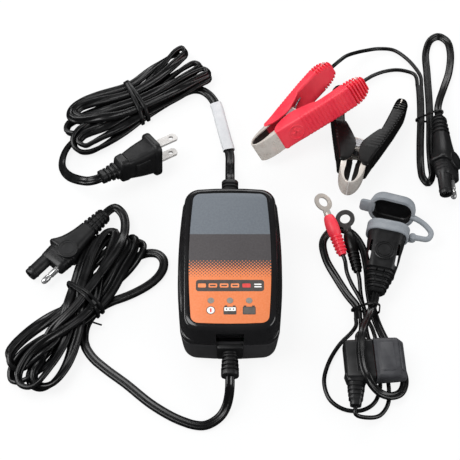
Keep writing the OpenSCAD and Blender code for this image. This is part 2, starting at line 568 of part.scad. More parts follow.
// One half of a clamp, pivot at the origin, jaws along +X, this half on the +Y side
jaw_hh = jaw_h / 2;
grip_hh = grip_h / 2;
grip_y = grip_span / 2;
function lever_mid(x) = x > 16 ? 8 * sqrt(max(0, 1 - pow((x - 16) / (jaw_l - 16), 2)))
  : lookup(x, [[-grip_l, grip_y - 4.4], [-0.65 * grip_l, 19.2], [-0.38 * grip_l, 16.2], [-4, 12.8], [4, 10.6], [10, 9.2], [16, 8]]);
LEVER_X = concat([-grip_l + 3, -0.65 * grip_l, -0.38 * grip_l, -4, 4, 10, 16], [for (k = [0.25, 0.5, 0.7, 0.85, 0.95, 1]) 16 + (jaw_l - 16) * k]);
LEVER = concat([for (x = LEVER_X) [x, lever_mid(x) + 0.06]],
  [for (i = [len(LEVER_X) - 1:-1:0]) let (x = LEVER_X[i])
    [i == len(LEVER_X) - 1 ? x - sheet_t : x, max(0.06, lever_mid(x) - sheet_t)]]);
ear_r = 4.4;
ear_t = 1.2;
// the plate, and two ears that reach in to the pin; this half's ears lie above the other's
module lever_half(level) {
  translate([0, 0, -jaw_hh]) linear_extrude(jaw_h) polygon(LEVER);
  for (s = [-1, 1]) translate([0, 0, s * (jaw_hh - 1.6 - level * (ear_t + 0.3)) - ear_t / 2]) difference() {
    linear_extrude(ear_t) union() {
      circle(r = ear_r);
      polygon([[-ear_r, 0], [-ear_r, lever_mid(-4) - sheet_t + 0.2], [ear_r + 2, lever_mid(6) - sheet_t + 0.2], [ear_r, 0]]);
    }
    translate([0, 0, -1]) cylinder(d = pivot_d + 2 * pivot_gap, h = ear_t + 2);
  }
}
// Rubber grip over the rear of a half: [x, outer y, inner y, height]
GRIP = [[17.4, 8.8, 6.2, grip_h - 1], [16.8, 9.3, 6, grip_h], [8, 11.9, 7.2, grip_h], [0, 14.8, 8.6, grip_h],
  [-0.22 * grip_l, 18, 10.8, grip_h], [-0.43 * grip_l, 21, 13, grip_h], [-0.65 * grip_l, 23.6, 15, grip_h],
  [-0.84 * grip_l, grip_y - 0.5, 16.4, grip_h],
  [-grip_l + 2.5, grip_y - 0.6, 17, grip_h - 0.6], [-grip_l, grip_y - 2.4, 18, grip_h - 3]];
function grip_ring(s) = [for (p = rrect(s[1] - s[2], s[3], min(2.4, (s[1] - s[2]) * 0.4), 3))
  [s[0], p[0] + (s[1] + s[2]) / 2, p[1]]];
module grip_half() difference() {
  skin([for (i = [len(GRIP) - 1:-1:0]) grip_ring(GRIP[i])]);
  translate([0, 0, -jaw_hh - 0.02]) linear_extrude(jaw_h + 0.04) {
    polygon(LEVER);
    polygon([[-ear_r - 1, 0], [-ear_r - 1, lever_mid(-ear_r - 1) - 0.3], [ear_r + 3, lever_mid(ear_r + 3) - 0.3], [ear_r + 3, 0]]);
  }
}
coil_r = pivot_d / 2 + 0.5;
wire_r = 0.6;
coil_pitch = 1.05;
module spring_coil() {
  for (k = [-2:2]) translate([0, 0, k * coil_pitch]) rotate_extrude() translate([coil_r + wire_r, 0]) circle(r = wire_r, $fn = 16);
}
module half_of(side) mirror([0, side < 0 ? 1 : 0, 0]) children();

module red_fixed_jaw() color("#dcd9d2") place(red_pos, red_rpy) half_of(-1) lever_half(0);
module red_moving_jaw() color("#dcd9d2") place(red_pos, red_rpy) half_of(1) lever_half(1);
module red_fixed_grip() color("#d8283a") place(red_pos, red_rpy) half_of(-1) grip_half();
module red_moving_grip() color("#d8283a") place(red_pos, red_rpy) half_of(1) grip_half();
module pivot_pin() {
  cylinder(d = pivot_d, h = jaw_h - 1.6, center = true);
  for (s = [-1, 1]) translate([0, 0, s * (jaw_hh - 0.5)]) cylinder(d = pivot_d + 2.4, h = 0.8, center = true);
}
module red_pivot() color("#b9b9ba") place(red_pos, red_rpy) pivot_pin();
module red_spring() color("#9b9c9e") place(red_pos, red_rpy) spring_coil();
module black_fixed_jaw() color("#dcd9d2") place(black_pos, black_rpy) half_of(-1) lever_half(0);
module black_moving_jaw() color("#dcd9d2") place(black_pos, black_rpy) half_of(1) lever_half(1);
module black_fixed_grip() color("#1a1a1b") place(black_pos, black_rpy) half_of(-1) grip_half();
module black_moving_grip() color("#1a1a1b") place(black_pos, black_rpy) half_of(1) grip_half();
module black_pivot() color("#b9b9ba") place(black_pos, black_rpy) pivot_pin();
module black_spring() color("#9b9c9e") place(black_pos, black_rpy) spring_coil();

// ---- ring terminal lead --------------------------------------------------------------

collar_x = weather_l - collar_l;
module weather_connector() color("#2a2a2b") place(weather_pos, weather_rpy) difference() {
  loft(concat([[0, 9, 8, 3]], [[1.5, 11, 9.4, 3.4]], ribs(1.8, 15, 4, 12, 18, 10, 13, 1.1),
    [[15.6, 18.4, 12.6, 4.6], [22, 21.4, 14, 5], [30, mouth_w - 2, 15.4, 5.4], [collar_x - 4, mouth_w - 0.6, mouth_t - 0.8, 6],
     [weather_l, mouth_w, mouth_t, 6.4]]));
  translate([weather_l - well_l, 0, 0]) loft([[0, mouth_w - 2 * well_wall, mouth_t - 2 * well_wall, 4.6],
    [well_l + 1, mouth_w - 2 * well_wall, mouth_t - 2 * well_wall, 4.6]]);
  // drain windows down both edges
  for (s = [-1, 1]) translate([24, s * (mouth_w / 2 - well_wall - 1.4) - 1, -mouth_t])
    cube([9, 2, 2 * mouth_t]);
}
module weather_contacts() color("#cfd0d2") place(weather_pos, weather_rpy) {
  translate([weather_l - well_l, -contact_pitch / 2, 0]) rotate([0, 90, 0]) {
    cylinder(d = pin_d, h = well_l - 3);
    translate([0, 0, well_l - 3 - touch]) cylinder(d1 = pin_d, d2 = pin_d * 0.6, h = 1);
  }
  translate([weather_l - well_l, contact_pitch / 2, 0]) rotate([0, 90, 0]) difference() {
    cylinder(d = sleeve_d - 0.8, h = well_l - 2);
    translate([0, 0, 1.5]) cylinder(d = socket_d, h = well_l);
  }
}
module ring_sleeve(w, t, l, wall_t) difference() {
  loft([[0, w, t, 7.6], [0.8, w + 1, t + 1, 8], [l - 0.8, w + 1, t + 1, 8], [l, w, t, 7.6]]);
  translate([-1, 0, 0]) loft([[0, w - 2 * wall_t, t - 2 * wall_t, 6.5], [l + 2, w - 2 * wall_t, t - 2 * wall_t, 6.5]]);
}
tether_x = weather_l - collar_l / 2;
lug_y = -(mouth_w + 3) / 2 - 2.2;
tether_d = 3.4;
module cap_collar() color("#7b7f84") place(weather_pos, weather_rpy) difference() {
  union() {
    loft([[collar_x, mouth_w + 2.4, mouth_t + 1.6, 7.6], [collar_x + 0.8, mouth_w + 3, mouth_t + 2.4, 8],
      [weather_l - 0.8, mouth_w + 3, mouth_t + 2.4, 8], [weather_l, mouth_w + 2.4, mouth_t + 1.6, 7.6]]);
    // lug that the tether's end turns on
    translate([tether_x, lug_y, -tether_d / 2 - 1.6]) cylinder(r = 2.3, h = 1.5);
    translate([tether_x - 2.3, lug_y, -tether_d / 2 - 1.6]) cube([4.6, 3, 1.5]);
  }
  loft([[collar_x - 4, mouth_w - 0.6, mouth_t - 0.8, 6], [weather_l, mouth_w, mouth_t, 6.4], [weather_l + 1, mouth_w, mouth_t, 6.4]]);
}
// The cap stands open beyond the mouth, leaning back; its well faces the connector
cap_w = mouth_w + 5.4;
cap_t = mouth_t + 3;
cap_wall = 2.2;
cap_place = [[100.2, 45.6, cap_t / 2 + 1.4], [0, 20, 74]];
module weather_cap() color("#7b7f84") place(cap_place[0], cap_place[1]) difference() {
  union() {
    loft([[0, cap_w, cap_t, 8.4], [1.2, cap_w, cap_t, 8.4], [cap_depth - 1.2, cap_w - 1, cap_t - 1, 8], [cap_depth, cap_w - 3, cap_t - 3, 7]]);
    // pull tab on the left edge
    translate([0, cap_w / 2 - 2, -4]) cube([2.4, 6.5, 8]);
  }
  translate([-1, 0, 0]) loft([[0, cap_w - 2 * cap_wall, cap_t - 2 * cap_wall, 6.2], [cap_depth - cap_wall + 1, cap_w - 2 * cap_wall, cap_t - 2 * cap_wall, 6.2]]);
}
TETHER = [[112.2, 43, 10.6], [117, 40.6, 10], [121.6, 36.6, 9.4], [124, 31.6, 9.4], [121.6, 27.6, 9.6],
  world(weather_pos, weather_rpy, [tether_x, lug_y - 3.4, 0]), world(weather_pos, weather_rpy, [tether_x, lug_y, 0])];
module cap_tether() color("#7b7f84") tube(TETHER, tether_d, tether_d);

module fuse_holder() color("#3a3a3b") place(holder_pos, holder_rpy) difference() {
  union() {
    loft([[-holder_l, holder_w - 2, holder_t - 1.6, 2], [-holder_l + 0.8, holder_w - 0.4, holder_t, 2.4],
      [-0.2, holder_w, holder_t, 2.4]]);
    // gland that both wires leave through, at the near end
    translate(gland_at) rotate([0, 0, -97])
      loft([[0, 14, 10, 2.4], [5, 11, 9.4, 2.4], [6, 10, 9, 3], [10, 10, 9, 3], [10.4, 8.6, 8, 3],
        [14, 8.6, 8, 3], [16, 8.2, 7.6, 3], [18, 6.6, 6.4, 2.4]]);
  }
  translate([-fuse_seat, -fuse_w / 2 - clear, -fuse_t / 2 - clear]) cube([fuse_seat + 1, fuse_w + 2 * clear, fuse_t + 2 * clear]);
}
fuse_seat = 7;
fuse_out = 5.5;
module blade_fuse() color("#c9312c") place(holder_pos, holder_rpy) {
  translate([-fuse_seat, -fuse_w / 2, -fuse_t / 2]) cube([fuse_seat + fuse_out, fuse_w, fuse_t]);
}
cap_gap = 0.35;
module fuse_cap() color("#4a4a4c") place(holder_pos, holder_rpy) difference() {
  loft([[cap_gap, holder_w + 0.6, holder_t + 0.8, 2.6], [fuse_cap_l - 1, holder_w - 0.4, holder_t, 2.6], [fuse_cap_l, holder_w - 2, holder_t - 1.6, 2.2]]);
  translate([-1, -fuse_w / 2 - 0.6, -fuse_t / 2 - 0.6]) cube([1 + cap_gap + fuse_out + 5, fuse_w + 1.2, fuse_t + 1.2]);
}

lead_z = lead_t / 2 + 0.25;
RING_CORD = [weather_pos, world(weather_pos, weather_rpy, [-6, 0, 0]), [83.4, -23, 10.6], [79.6, -32, 15],
  [77, -40, 18.3], [76, -52, 18.4], [76.8, -62, 18.2], [78.8, -67.4, 17.4], [82.4, -71.8, 13.4], [87, -74.2, 9],
  [93, -74.6, 6], [99, -71.4, 3.4], [102, -64, 1.6], [100.6, -55, 1.5], [96, -45, 1.5], [91, -34, 1.5], [87.6, -24, 1.5],
  [85.8, -15, 1.5], [84.6, -4, 1.5], [84.2, 12, 1.5], [81.6, 27, 1.5], [75, 37, 1.5], [65, 39, 1.5], [58, 31, 1.5],
  [59, 18, 1.5], [65.4, 4, 1.5], [71.4, -7, 1.5], [76.4, -14.5, 1.5], [77, -18, 1.6], [77, -22.5, 1.6]];
RING_BLACK_WIRE = [world(black_boot_pos, black_boot_rpy, [-boot_l, 0, 0]), world(black_boot_pos, black_boot_rpy, [-boot_l - 4, 0, 0]),
  [79.4, -7, 2], [80.9, -17, 1.5], [81.3, -24, 1.5], [81.8, -32, 1.5], [84.2, -44, 1.5], [86.8, -58, 1.5], [87.6, -67, 1.5],
  [83.6, -77, 1.5], [76, -81.6, 1.5], [66, -81, 1.5], [58, -75, 1.5], [55, -64, 1.5], [58, -52, 1.5], [65, -40, 1.5],
  [73, -31.4, 1.5], [75.6, -27, 1.6], [75.6, -22.5, 1.6]];
RING_RED_WIRE = [world(red_boot_pos, red_boot_rpy, [-boot_l, 0, 0]), world(red_boot_pos, red_boot_rpy, [-boot_l - 4, 0, 0]),
  [71.2, 7, 5.4], [73.8, -1, 5], [77.6, -9, 4.5], [80.6, -17, 4.4], [82, -24, 4.4], [84.8, -30.4, 3.6], [87, -38, 1.8],
  [89, -48, 1.5], [91.6, -58, 1.5], [92.6, -68, 1.5], [91.4, -78, 1.5], [86.4, -85, 2.4], [79.6, -87.6, 5.4],
  world(holder_pos, holder_rpy, gland_at + rot_z(-97, [23, 0, 0])), world(holder_pos, holder_rpy, gland_at + rot_z(-97, [18, 0, 0]))];
RING_FUSE_WIRE = [[78.4, -22.5, 1.6], [78.4, -26, 1.6], [77.9, -30.6, 4.6], [77, -34.6, 8.2], world(holder_pos, holder_rpy, [-8, holder_w / 2 + 4, 0]),
  world(holder_pos, holder_rpy, [-8, holder_w / 2, 0])];
module ring_cord() color("#1c1c1d") tube(RING_CORD, lead_w, lead_t);
module ring_black_wire() color("#1c1c1d") tube(RING_BLACK_WIRE, lead_t, lead_t);
module ring_red_wire() color("#1c1c1d") tube(RING_RED_WIRE, lead_t, lead_t);
module ring_fuse_wire() color("#1c1c1d") tube(RING_FUSE_WIRE, lead_t, lead_t);
module ring_cord_tie() color("#2a2a2b") band(80.9, -17.5, 88, 17.6, 12.6, 1.8, 1);

barrel_l = 4.6;
// Terminal along +X from the boot's front: barrel, neck and flat ring
module terminal() {
  rotate([0, 90, 0]) translate([0, 0, -3]) cylinder(d = 4.56, h = barrel_l);
  translate([barrel_l - 3.6, -2.4, -ring_t / 2]) cube([3.6, 4.8, ring_t]);
  translate([barrel_l - 1 + ring_d / 2, 0, -ring_t / 2]) difference() {
    cylinder(d = ring_d, h = ring_t);
    translate([0, 0, -1]) cylinder(d = ring_hole_d, h = ring_t + 2);
  }
}
// Soft boot along -X, ribbed at its rear, with a hole for the barrel
module boot() difference() {
  rotate([0, 0, 180]) loft(concat([[0, boot_d * 0.66, boot_d * 0.66, boot_d * 0.3], [2, boot_d * 0.84, boot_d * 0.84, boot_d * 0.38],
    [8, boot_d, boot_d, boot_d * 0.45], [boot_l - 13, boot_d * 0.92, boot_d * 0.92, boot_d * 0.4]],
    ribs(boot_l - 12, boot_l - 1, 4, boot_d * 0.9, boot_d * 0.82, boot_d * 0.9, boot_d * 0.82, 0.7),
    [[boot_l, boot_d * 0.66, boot_d * 0.66, boot_d * 0.3]]), 4);
  translate([-3, 0, 0]) rotate([0, 90, 0]) cylinder(d = 4.6, h = 10);
}
module red_terminal() color("#d5cfc8") place(red_boot_pos, red_boot_rpy) terminal();
module red_boot() color("#d8283a") place(red_boot_pos, red_boot_rpy) boot();
module black_terminal() color("#55565a") place(black_boot_pos, black_boot_rpy) terminal();
module black_boot() color("#1a1a1b") place(black_boot_pos, black_boot_rpy) boot();

case_top();
case_bottom();
front_label();
status_lights();
circuit_board();
transformer_core();
transformer_winding();
capacitors();
case_screws();
ac_bushing();
dc_bushing();
ac_cord_lead();
ac_cord_hank();
ac_cord_tail();
ac_cord_sleeve();
ac_cord_tie();
ac_plug();
plug_blades();
dc_cord_lead();
dc_cord_hank();
dc_cord_loop();
dc_cord_tail();
dc_cord_tie();
dc_connector();
dc_contacts();
clamp_connector();
clamp_contacts();
clamp_cord();
clamp_red_wire();
clamp_black_wire();
clamp_cord_tie();
red_fixed_jaw();
red_moving_jaw();
red_fixed_grip();
red_moving_grip();
red_pivot();
red_spring();
black_fixed_jaw();
black_moving_jaw();
black_fixed_grip();
black_moving_grip();
black_pivot();
black_spring();
weather_connector();
weather_contacts();
cap_collar();
cap_tether();
weather_cap();
fuse_holder();
fuse_cap();
blade_fuse();
ring_cord();
ring_fuse_wire();
ring_red_wire();
ring_black_wire();
ring_cord_tie();
red_terminal();
black_terminal();
red_boot();
black_boot();
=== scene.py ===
"""Car battery charger with its clamp lead and ring terminal lead: the dressed model.

Everything is written in millimetres and made in metres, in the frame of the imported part.
"""
import math

import bpy
import numpy as np
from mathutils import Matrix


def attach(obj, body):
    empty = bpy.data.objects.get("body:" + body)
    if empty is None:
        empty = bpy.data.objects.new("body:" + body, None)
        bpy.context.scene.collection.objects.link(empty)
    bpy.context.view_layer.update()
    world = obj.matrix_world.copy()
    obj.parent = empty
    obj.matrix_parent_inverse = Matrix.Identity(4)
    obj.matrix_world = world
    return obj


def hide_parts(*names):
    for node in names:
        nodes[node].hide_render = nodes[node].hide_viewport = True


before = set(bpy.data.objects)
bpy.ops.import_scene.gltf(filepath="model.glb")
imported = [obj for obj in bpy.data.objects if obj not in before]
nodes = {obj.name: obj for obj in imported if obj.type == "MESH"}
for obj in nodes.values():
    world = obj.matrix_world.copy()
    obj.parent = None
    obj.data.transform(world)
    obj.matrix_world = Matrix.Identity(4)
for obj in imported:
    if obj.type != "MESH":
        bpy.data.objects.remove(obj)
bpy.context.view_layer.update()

MM = 0.001
CLEAR = 0.1     # mm between the lowest point of a cord and the table

# ---- camera ----

scene = bpy.context.scene


def placed(name, data):
    """A new object in the scene."""
    made = bpy.data.objects.new(name, data)
    scene.collection.objects.link(made)
    return made


camera_data = bpy.data.cameras.new("camera")
camera_data.lens = 100
camera_data.sensor_width = 36
camera = placed("camera", camera_data)
camera.location = (0, -0.3604, 0.69282)
camera.rotation_euler = (math.radians(30), 0, 0)
scene.camera = camera

# ---- shapes ----


def turn(rpy):
    """Rotation matrix for turns about X, then Y, then Z, in degrees."""
    a, b, c = np.radians(rpy)
    x = np.array([[1, 0, 0], [0, math.cos(a), -math.sin(a)], [0, math.sin(a), math.cos(a)]])
    y = np.array([[math.cos(b), 0, math.sin(b)], [0, 1, 0], [-math.sin(b), 0, math.cos(b)]])
    z = np.array([[math.cos(c), -math.sin(c), 0], [math.sin(c), math.cos(c), 0], [0, 0, 1]])
    return z @ y @ x


def at(pose, points):
    """Points of a piece's own frame, laid in the model by its place and turn."""
    return np.asarray(points, float) @ turn(pose[1]).T + np.asarray(pose[0], float)


def compass(heading):
    """Unit vectors in the plane: along a heading in degrees, and to its left."""
    a = math.radians(heading)
    return np.array([math.cos(a), math.sin(a)]), np.array([-math.sin(a), math.cos(a)])


def mesh_of(name, verts, faces):
    """Mesh in metres from points in mm."""
    mesh = bpy.data.meshes.new(name)
    mesh.from_pydata([tuple(v) for v in np.asarray(verts, float) * MM], [],
                     [tuple(f) for f in faces])
    return mesh


def shade(mesh, crease):
    """Smooth shading, with edges sharper than the crease angle kept sharp."""
    mesh.polygons.foreach_set("use_smooth", [True] * len(mesh.polygons))
    mesh.set_sharp_from_angle(angle=math.radians(crease))


def piece(name, verts, faces, finish, body, replaces=(), slot=None, crease=35, finishes=(),
          face_finish=None):
    """One object from points in mm, riding on a body of the part."""
    mesh = mesh_of(name, verts, faces)
    mesh.validate()
    for material in (finish, *finishes):
        mesh.materials.append(material)
    if face_finish is not None:
        mesh.polygons.foreach_set("material_index", list(face_finish))
    shade(mesh, crease)
    mesh.update()
    made = placed(name, mesh)
    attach(made, body)
    if replaces:
        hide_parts(*replaces)
    return made


def skin(rings, closed=False, caps=True):
    """Faces between rings of the same number of points."""
    rings = [np.asarray(r, float) for r in rings]
    n, m = len(rings[0]), len(rings)
    faces = [(k * n + i, k * n + (i + 1) % n, (k + 1) % m * n + (i + 1) % n, (k + 1) % m * n + i)
             for k in range(m if closed else m - 1) for i in range(n)]
    if caps and not closed:
        faces += [tuple(range(n - 1, -1, -1)), tuple((m - 1) * n + i for i in range(n))]
    return np.concatenate(rings), faces


def joined(*parts):
    """Several (points, faces) as one."""
    verts, faces, count = [], [], 0
    for v, f in parts:
        verts.append(np.asarray(v, float))
        faces += [tuple(i + count for i in face) for face in f]
        count += len(v)
    return np.concatenate(verts), faces


def rounded(w, t, r, n):
    """Outline of a w by t rectangle with corners of radius r."""
    r = min(r, w / 2 - 1e-3, t / 2 - 1e-3)
    out = []
    for c, (sx, sy) in enumerate(((1, 1), (-1, 1), (-1, -1), (1, -1))):
        for k in range(n + 1):
            a = math.radians(90 * (c + k / n))
            out.append((sx * (w / 2 - r) + r * math.cos(a), sy * (t / 2 - r) + r * math.sin(a)))
    return out


def loft(sections, n):
    """Body along +X; a section is x, width in y, thickness in z, corner radius, and y and z
    shifts where it has them."""
    return skin([[(s[0], y + (s[4] if len(s) > 4 else 0), z + (s[5] if len(s) > 5 else 0))
                  for y, z in rounded(s[1], s[2], s[3], n)] for s in sections])


def smooth(points, step):
    """Evenly spaced points on the smooth curve through the given ones."""
    p = np.asarray(points, float)
    p = np.concatenate([[2 * p[0] - p[1]], p, [2 * p[-1] - p[-2]]])
    out = []
    for a, b, c, d in zip(p[:-3], p[1:-2], p[2:-1], p[3:]):
        ta = 0.0
        tb = ta + np.linalg.norm(b - a) ** 0.5
        tc = tb + np.linalg.norm(c - b) ** 0.5
        td = tc + np.linalg.norm(d - c) ** 0.5
        for t in np.linspace(tb, tc, 12, endpoint=False):
            a1 = (tb - t) / (tb - ta) * a + (t - ta) / (tb - ta) * b
            a2 = (tc - t) / (tc - tb) * b + (t - tb) / (tc - tb) * c
            a3 = (td - t) / (td - tc) * c + (t - tc) / (td - tc) * d
            b1 = (tc - t) / (tc - ta) * a1 + (t - ta) / (tc - ta) * a2
            b2 = (td - t) / (td - tb) * a2 + (t - tb) / (td - tb) * a3
            out.append((tc - t) / (tc - tb) * b1 + (t - tb) / (tc - tb) * b2)
    out = np.array(out + [p[-2]])
    return spaced(out, step)


def spaced(line, step):
    """The same line with its points about a step apart."""
    along = np.concatenate([[0], np.cumsum(np.linalg.norm(np.diff(line, axis=0), axis=1))])
    where = np.linspace(0, along[-1], max(2, round(along[-1] / step) + 1))
    return np.stack([np.interp(where, along, line[:, k]) for k in range(3)], axis=1)


def length_of(line):
    """Length along a line of points."""
    return float(np.linalg.norm(np.diff(line, axis=0), axis=1).sum())


STEEP = 0.15    # cosine of the rise from which a line keeps the side it had


def sweep(line, outline, roll=0.0, caps=True, scale=None):
    """A profile drawn along a line, its width level where the roll is 0."""
    line = np.asarray(line, float)
    ahead = np.gradient(line, axis=0)
    ahead /= np.linalg.norm(ahead, axis=1)[:, None]
    side = np.cross([0, 0, 1], ahead)
    for i in range(len(side)):
        if np.linalg.norm(side[i]) < STEEP and i:
            side[i] = side[i - 1] - ahead[i] * (side[i - 1] @ ahead[i])
        side[i] /= np.linalg.norm(side[i])
    up = np.cross(ahead, side)
    roll = np.radians(np.broadcast_to(roll, len(line)))[:, None]
    across = side * np.cos(roll) + up * np.sin(roll)
    over = up * np.cos(roll) - side * np.sin(roll)
    scale = np.ones(len(line)) if scale is None else scale
    outline = np.asarray(outline, float)
    return skin([line[i] + scale[i] * (outline[:, :1] * across[i] + outline[:, 1:] * over[i])
                 for i in range(len(line))], caps=caps)


def lifted(line, outline, roll):
    """The line raised a little where the profile would reach into the table."""
    rings = np.reshape(sweep(line, outline, roll)[0], (len(line), -1, 3))
    rise = np.maximum(0, CLEAR - rings[:, :, 2].min(axis=1))
    for _ in range(4):
        rise[1:-1] = np.maximum(rise[1:-1], (rise[:-2] + rise[2:]) / 2)
    return line + np.outer(rise, [0, 0, 1])


TWIN_POINTS, GROOVE = 22, 0.62


def twin(w, t):
    """Profile of two round conductors side by side with a groove between them."""
    half = (w - t) / 2
    out = []
    for k in range(TWIN_POINTS):
        a = 2 * math.pi * (k + 0.5) / TWIN_POINTS
        y = (w / 2) * math.cos(a)
        z = math.sqrt(max(0.0, (t / 2) ** 2 - (abs(y) - half) ** 2))
        if abs(y) <= half:
            z = max(z, GROOVE * t / 2)
        out.append((y, z if math.sin(a) > 0 else -z))
    return out


def disc(r, n):
    """Outline of a circle."""
    return [(r * math.cos(2 * math.pi * k / n), r * math.sin(2 * math.pi * k / n))
            for k in range(n)]


def turned(profile, y, n=32):
    """Round body along +X about a line at y; the profile is x and radius."""
    angles = np.linspace(0, 2 * math.pi, n, endpoint=False)
    return skin([[(x, y + r * math.cos(a), r * math.sin(a)) for a in angles] for x, r in profile])


def raised(x0, y0, profile, n=48, closed=False):
    """Round boss along +Z about a point; the profile is z and radius."""
    angles = np.linspace(0, 2 * math.pi, n, endpoint=False)
    return skin([[(x0 + r * math.cos(a), y0 + r * math.sin(a), z) for a in angles]
                 for z, r in profile], closed=closed)


def posed(pose, shape):
    """A shape laid in the model."""
    return at(pose, shape[0]), shape[1]


# ---- cords ----

# width and thickness of the mains cord, the low voltage cord and the lead wires
AC_W, AC_T, DC_W, DC_T, LEAD_W, LEAD_T = 6.0, 3.1, 5.6, 2.9, 5.0, 2.5


def folded(middle, heading, stops):
    """Control points of a hank; a stop is ("run", across, height) at the tie or
    ("fold", along, across, radius, height, side) at an end, in the hank's own frame."""
    e, n = (np.array([*way, 0]) for way in compass(heading))
    own = []
    for s in stops:
        if s[0] == "run":
            own.append((0, s[1], s[2]))
            continue
        _, along, across, r, z, side = s
        tip = np.array([along, across])
        d = tip - np.array([0, across * 0.25])
        d /= np.linalg.norm(d)
        q = np.array([-d[1], d[0]]) * side
        centre = tip - d * r
        for back, out in ((-2.4, 1.05), (0, 1), (0.71, 0.71), (1, 0), (0.71, -0.71), (0, -1),
                          (-2.4, -1.05)):
            own.append((*(centre + d * (back * r) + q * r * out), z))
    own = np.array(own, float)
    return np.array([*middle, 0]) + own[:, :1] * e + own[:, 1:2] * n + own[:, 2:] * [0, 0, 1]


# Settling of a hank: the share by which a step straightens the cord and draws it back to where
# it was folded, the points along it that count as neighbours, half the length that the tie
# holds, and how far from the tie its height still limits the hank, in mm
STRAIGHTEN, HOMING, NEIGHBOURS, HELD, TAPER = 0.3, 0.012, 6, 5, 70
# A push is divided by DIVIDED times the points that touch, then spread over SPREAD points along
# the cord with a gain of GAIN; SLOPE is the share of the tie's height lost at TAPER from it
SPREAD, GAIN, DIVIDED, SLOPE = 11, 1.6, 0.7, 0.25


def settle(line, w, t, roll, free, tie, steps):
    """Let a folded cord's runs push each other apart, held to the floor and inside the tie."""
    p = line.copy()
    home = line.copy()
    count = len(p)
    rest = np.linalg.norm(np.diff(p, axis=0), axis=1)[:, None]
    c2 = np.cos(np.radians(roll)) ** 2
    wide, high = w * c2 + t * (1 - c2), w * (1 - c2) + t * c2
    pair_w = (wide[:, None] + wide[None]) / 2
    pair_h = (high[:, None] + high[None]) / 2
    index = np.arange(count)
    far = np.abs(index[:, None] - index[None]) > NEIGHBOURS
    (cx, cy), heading, half_w, half_h = tie
    e, n = compass(heading)
    move = free[:, None]
    window = np.hanning(SPREAD)
    window /= window.sum() / GAIN
    for _ in range(steps):
        d = p[:, None] - p[None]
        g = np.stack([d[..., 0] / pair_w, d[..., 1] / pair_w, d[..., 2] / pair_h], axis=2)
        r = np.sqrt((g ** 2).sum(2)) + 1e-9
        hit = (r < 1) & far
        k = np.where(hit, (1 - r) / r * 0.5, 0)
        push = np.stack([(k * g[..., i] * pair).sum(1)
                         for i, pair in enumerate((pair_w, pair_w, pair_h))], axis=1)
        push /= np.maximum(1, hit.sum(1) * DIVIDED)[:, None]
        p += move * np.stack([np.convolve(push[:, k], window, "same") for k in range(3)],
                             axis=1)
        p[1:-1] += move[1:-1] * STRAIGHTEN * ((p[:-2] + p[2:]) / 2 - p[1:-1])
        p += move * HOMING * (home - p)
        for first in (0, 1):
            i = np.arange(first, count - 1, 2)
            gap = p[i + 1] - p[i]
            size = np.linalg.norm(gap, axis=1)[:, None]
            fix = gap * (1 - rest[i] / size) * 0.5
            p[i] += fix * move[i]
            p[i + 1] -= fix * move[i + 1]
        flat = p[:, :2] - [cx, cy]
        along, across = flat @ e, flat @ n
        inside = np.abs(along) < HELD
        lim_w, lim_h = half_w - wide / 2, half_h - high / 2
        q = np.sqrt((across / lim_w) ** 4 + ((p[:, 2] - half_h) / lim_h) ** 4) ** 0.5
        over = inside & (q > 1)
        pull = np.where(over, across - across / np.maximum(q, 1), 0)
        p[:, :2] -= move * pull[:, None] * n
        p[:, 2] = np.where(over & (free > 0), half_h + (p[:, 2] - half_h) / np.maximum(q, 1),
                           p[:, 2])
        p[:, 2] = np.where(free > 0, np.maximum(p[:, 2], high / 2 + CLEAR), p[:, 2])
        top = 2 * half_h * (1 - SLOPE * np.clip(np.abs(along) / TAPER, 0, 1))
        p[:, 2] = np.where(free > 0, np.minimum(p[:, 2], top - high / 2), p[:, 2])
    return p


# Roll of a hank: the share of the reach that stays level and the share over which it turns up,
# and its slow wave in degrees, radians per point and radians at the start
LEVEL, RISE, WAVE, WAVE_STEP, WAVE_START = 0.25, 0.7, 9, 0.03, 1.3


def hank_roll(line, middle, heading, reach, most):
    """Roll of a flat cord in a hank: nearly level at the tie, on edge at the folds."""
    along = np.abs((line[:, :2] - middle) @ compass(heading)[0]) / reach
    k = np.clip((along - LEVEL) / RISE, 0, 1)
    wave = WAVE * np.sin(np.arange(len(line)) * WAVE_STEP + WAVE_START)
    return most * k * k * (3 - 2 * k) + wave


# ---- finishes ----


def linear(code):
    """A #rrggbb colour as the shader's linear colour."""
    out = []
    for i in (1, 3, 5):
        c = int(code[i:i + 2], 16) / 255
        out.append(c / 12.92 if c <= 0.04045 else ((c + 0.055) / 1.055) ** 2.4)
    return (*out, 1.0)


def add(tree, kind, settings=None, links=None):
    """A shader node with its settings and the outputs linked into it."""
    node = tree.nodes.new("ShaderNode" + kind)
    for key, value in (settings or {}).items():
        if isinstance(key, int) or key in node.inputs:
            node.inputs[key].default_value = value
        else:
            setattr(node, key, value)
    for key, output in (links or {}).items():
        tree.links.new(output, node.inputs[key])
    return node


def noise(tree, where, size_mm, **settings):
    """Noise with features of about a size; the names of settings are those of the node."""
    return add(tree, "TexNoise", {"Scale": 1000 / size_mm, **settings},
               {"Vector": where}).outputs["Fac"]


def blank(name, settings):
    """A new material with its node tree, its shader and object coordinates."""
    material = bpy.data.materials.new(name)
    material.use_nodes = True
    tree = material.node_tree
    shader = tree.nodes["Principled BSDF"]
    for key, value in settings.items():
        shader.inputs[key].default_value = value
    return material, tree, shader, add(tree, "TexCoord").outputs["Object"]


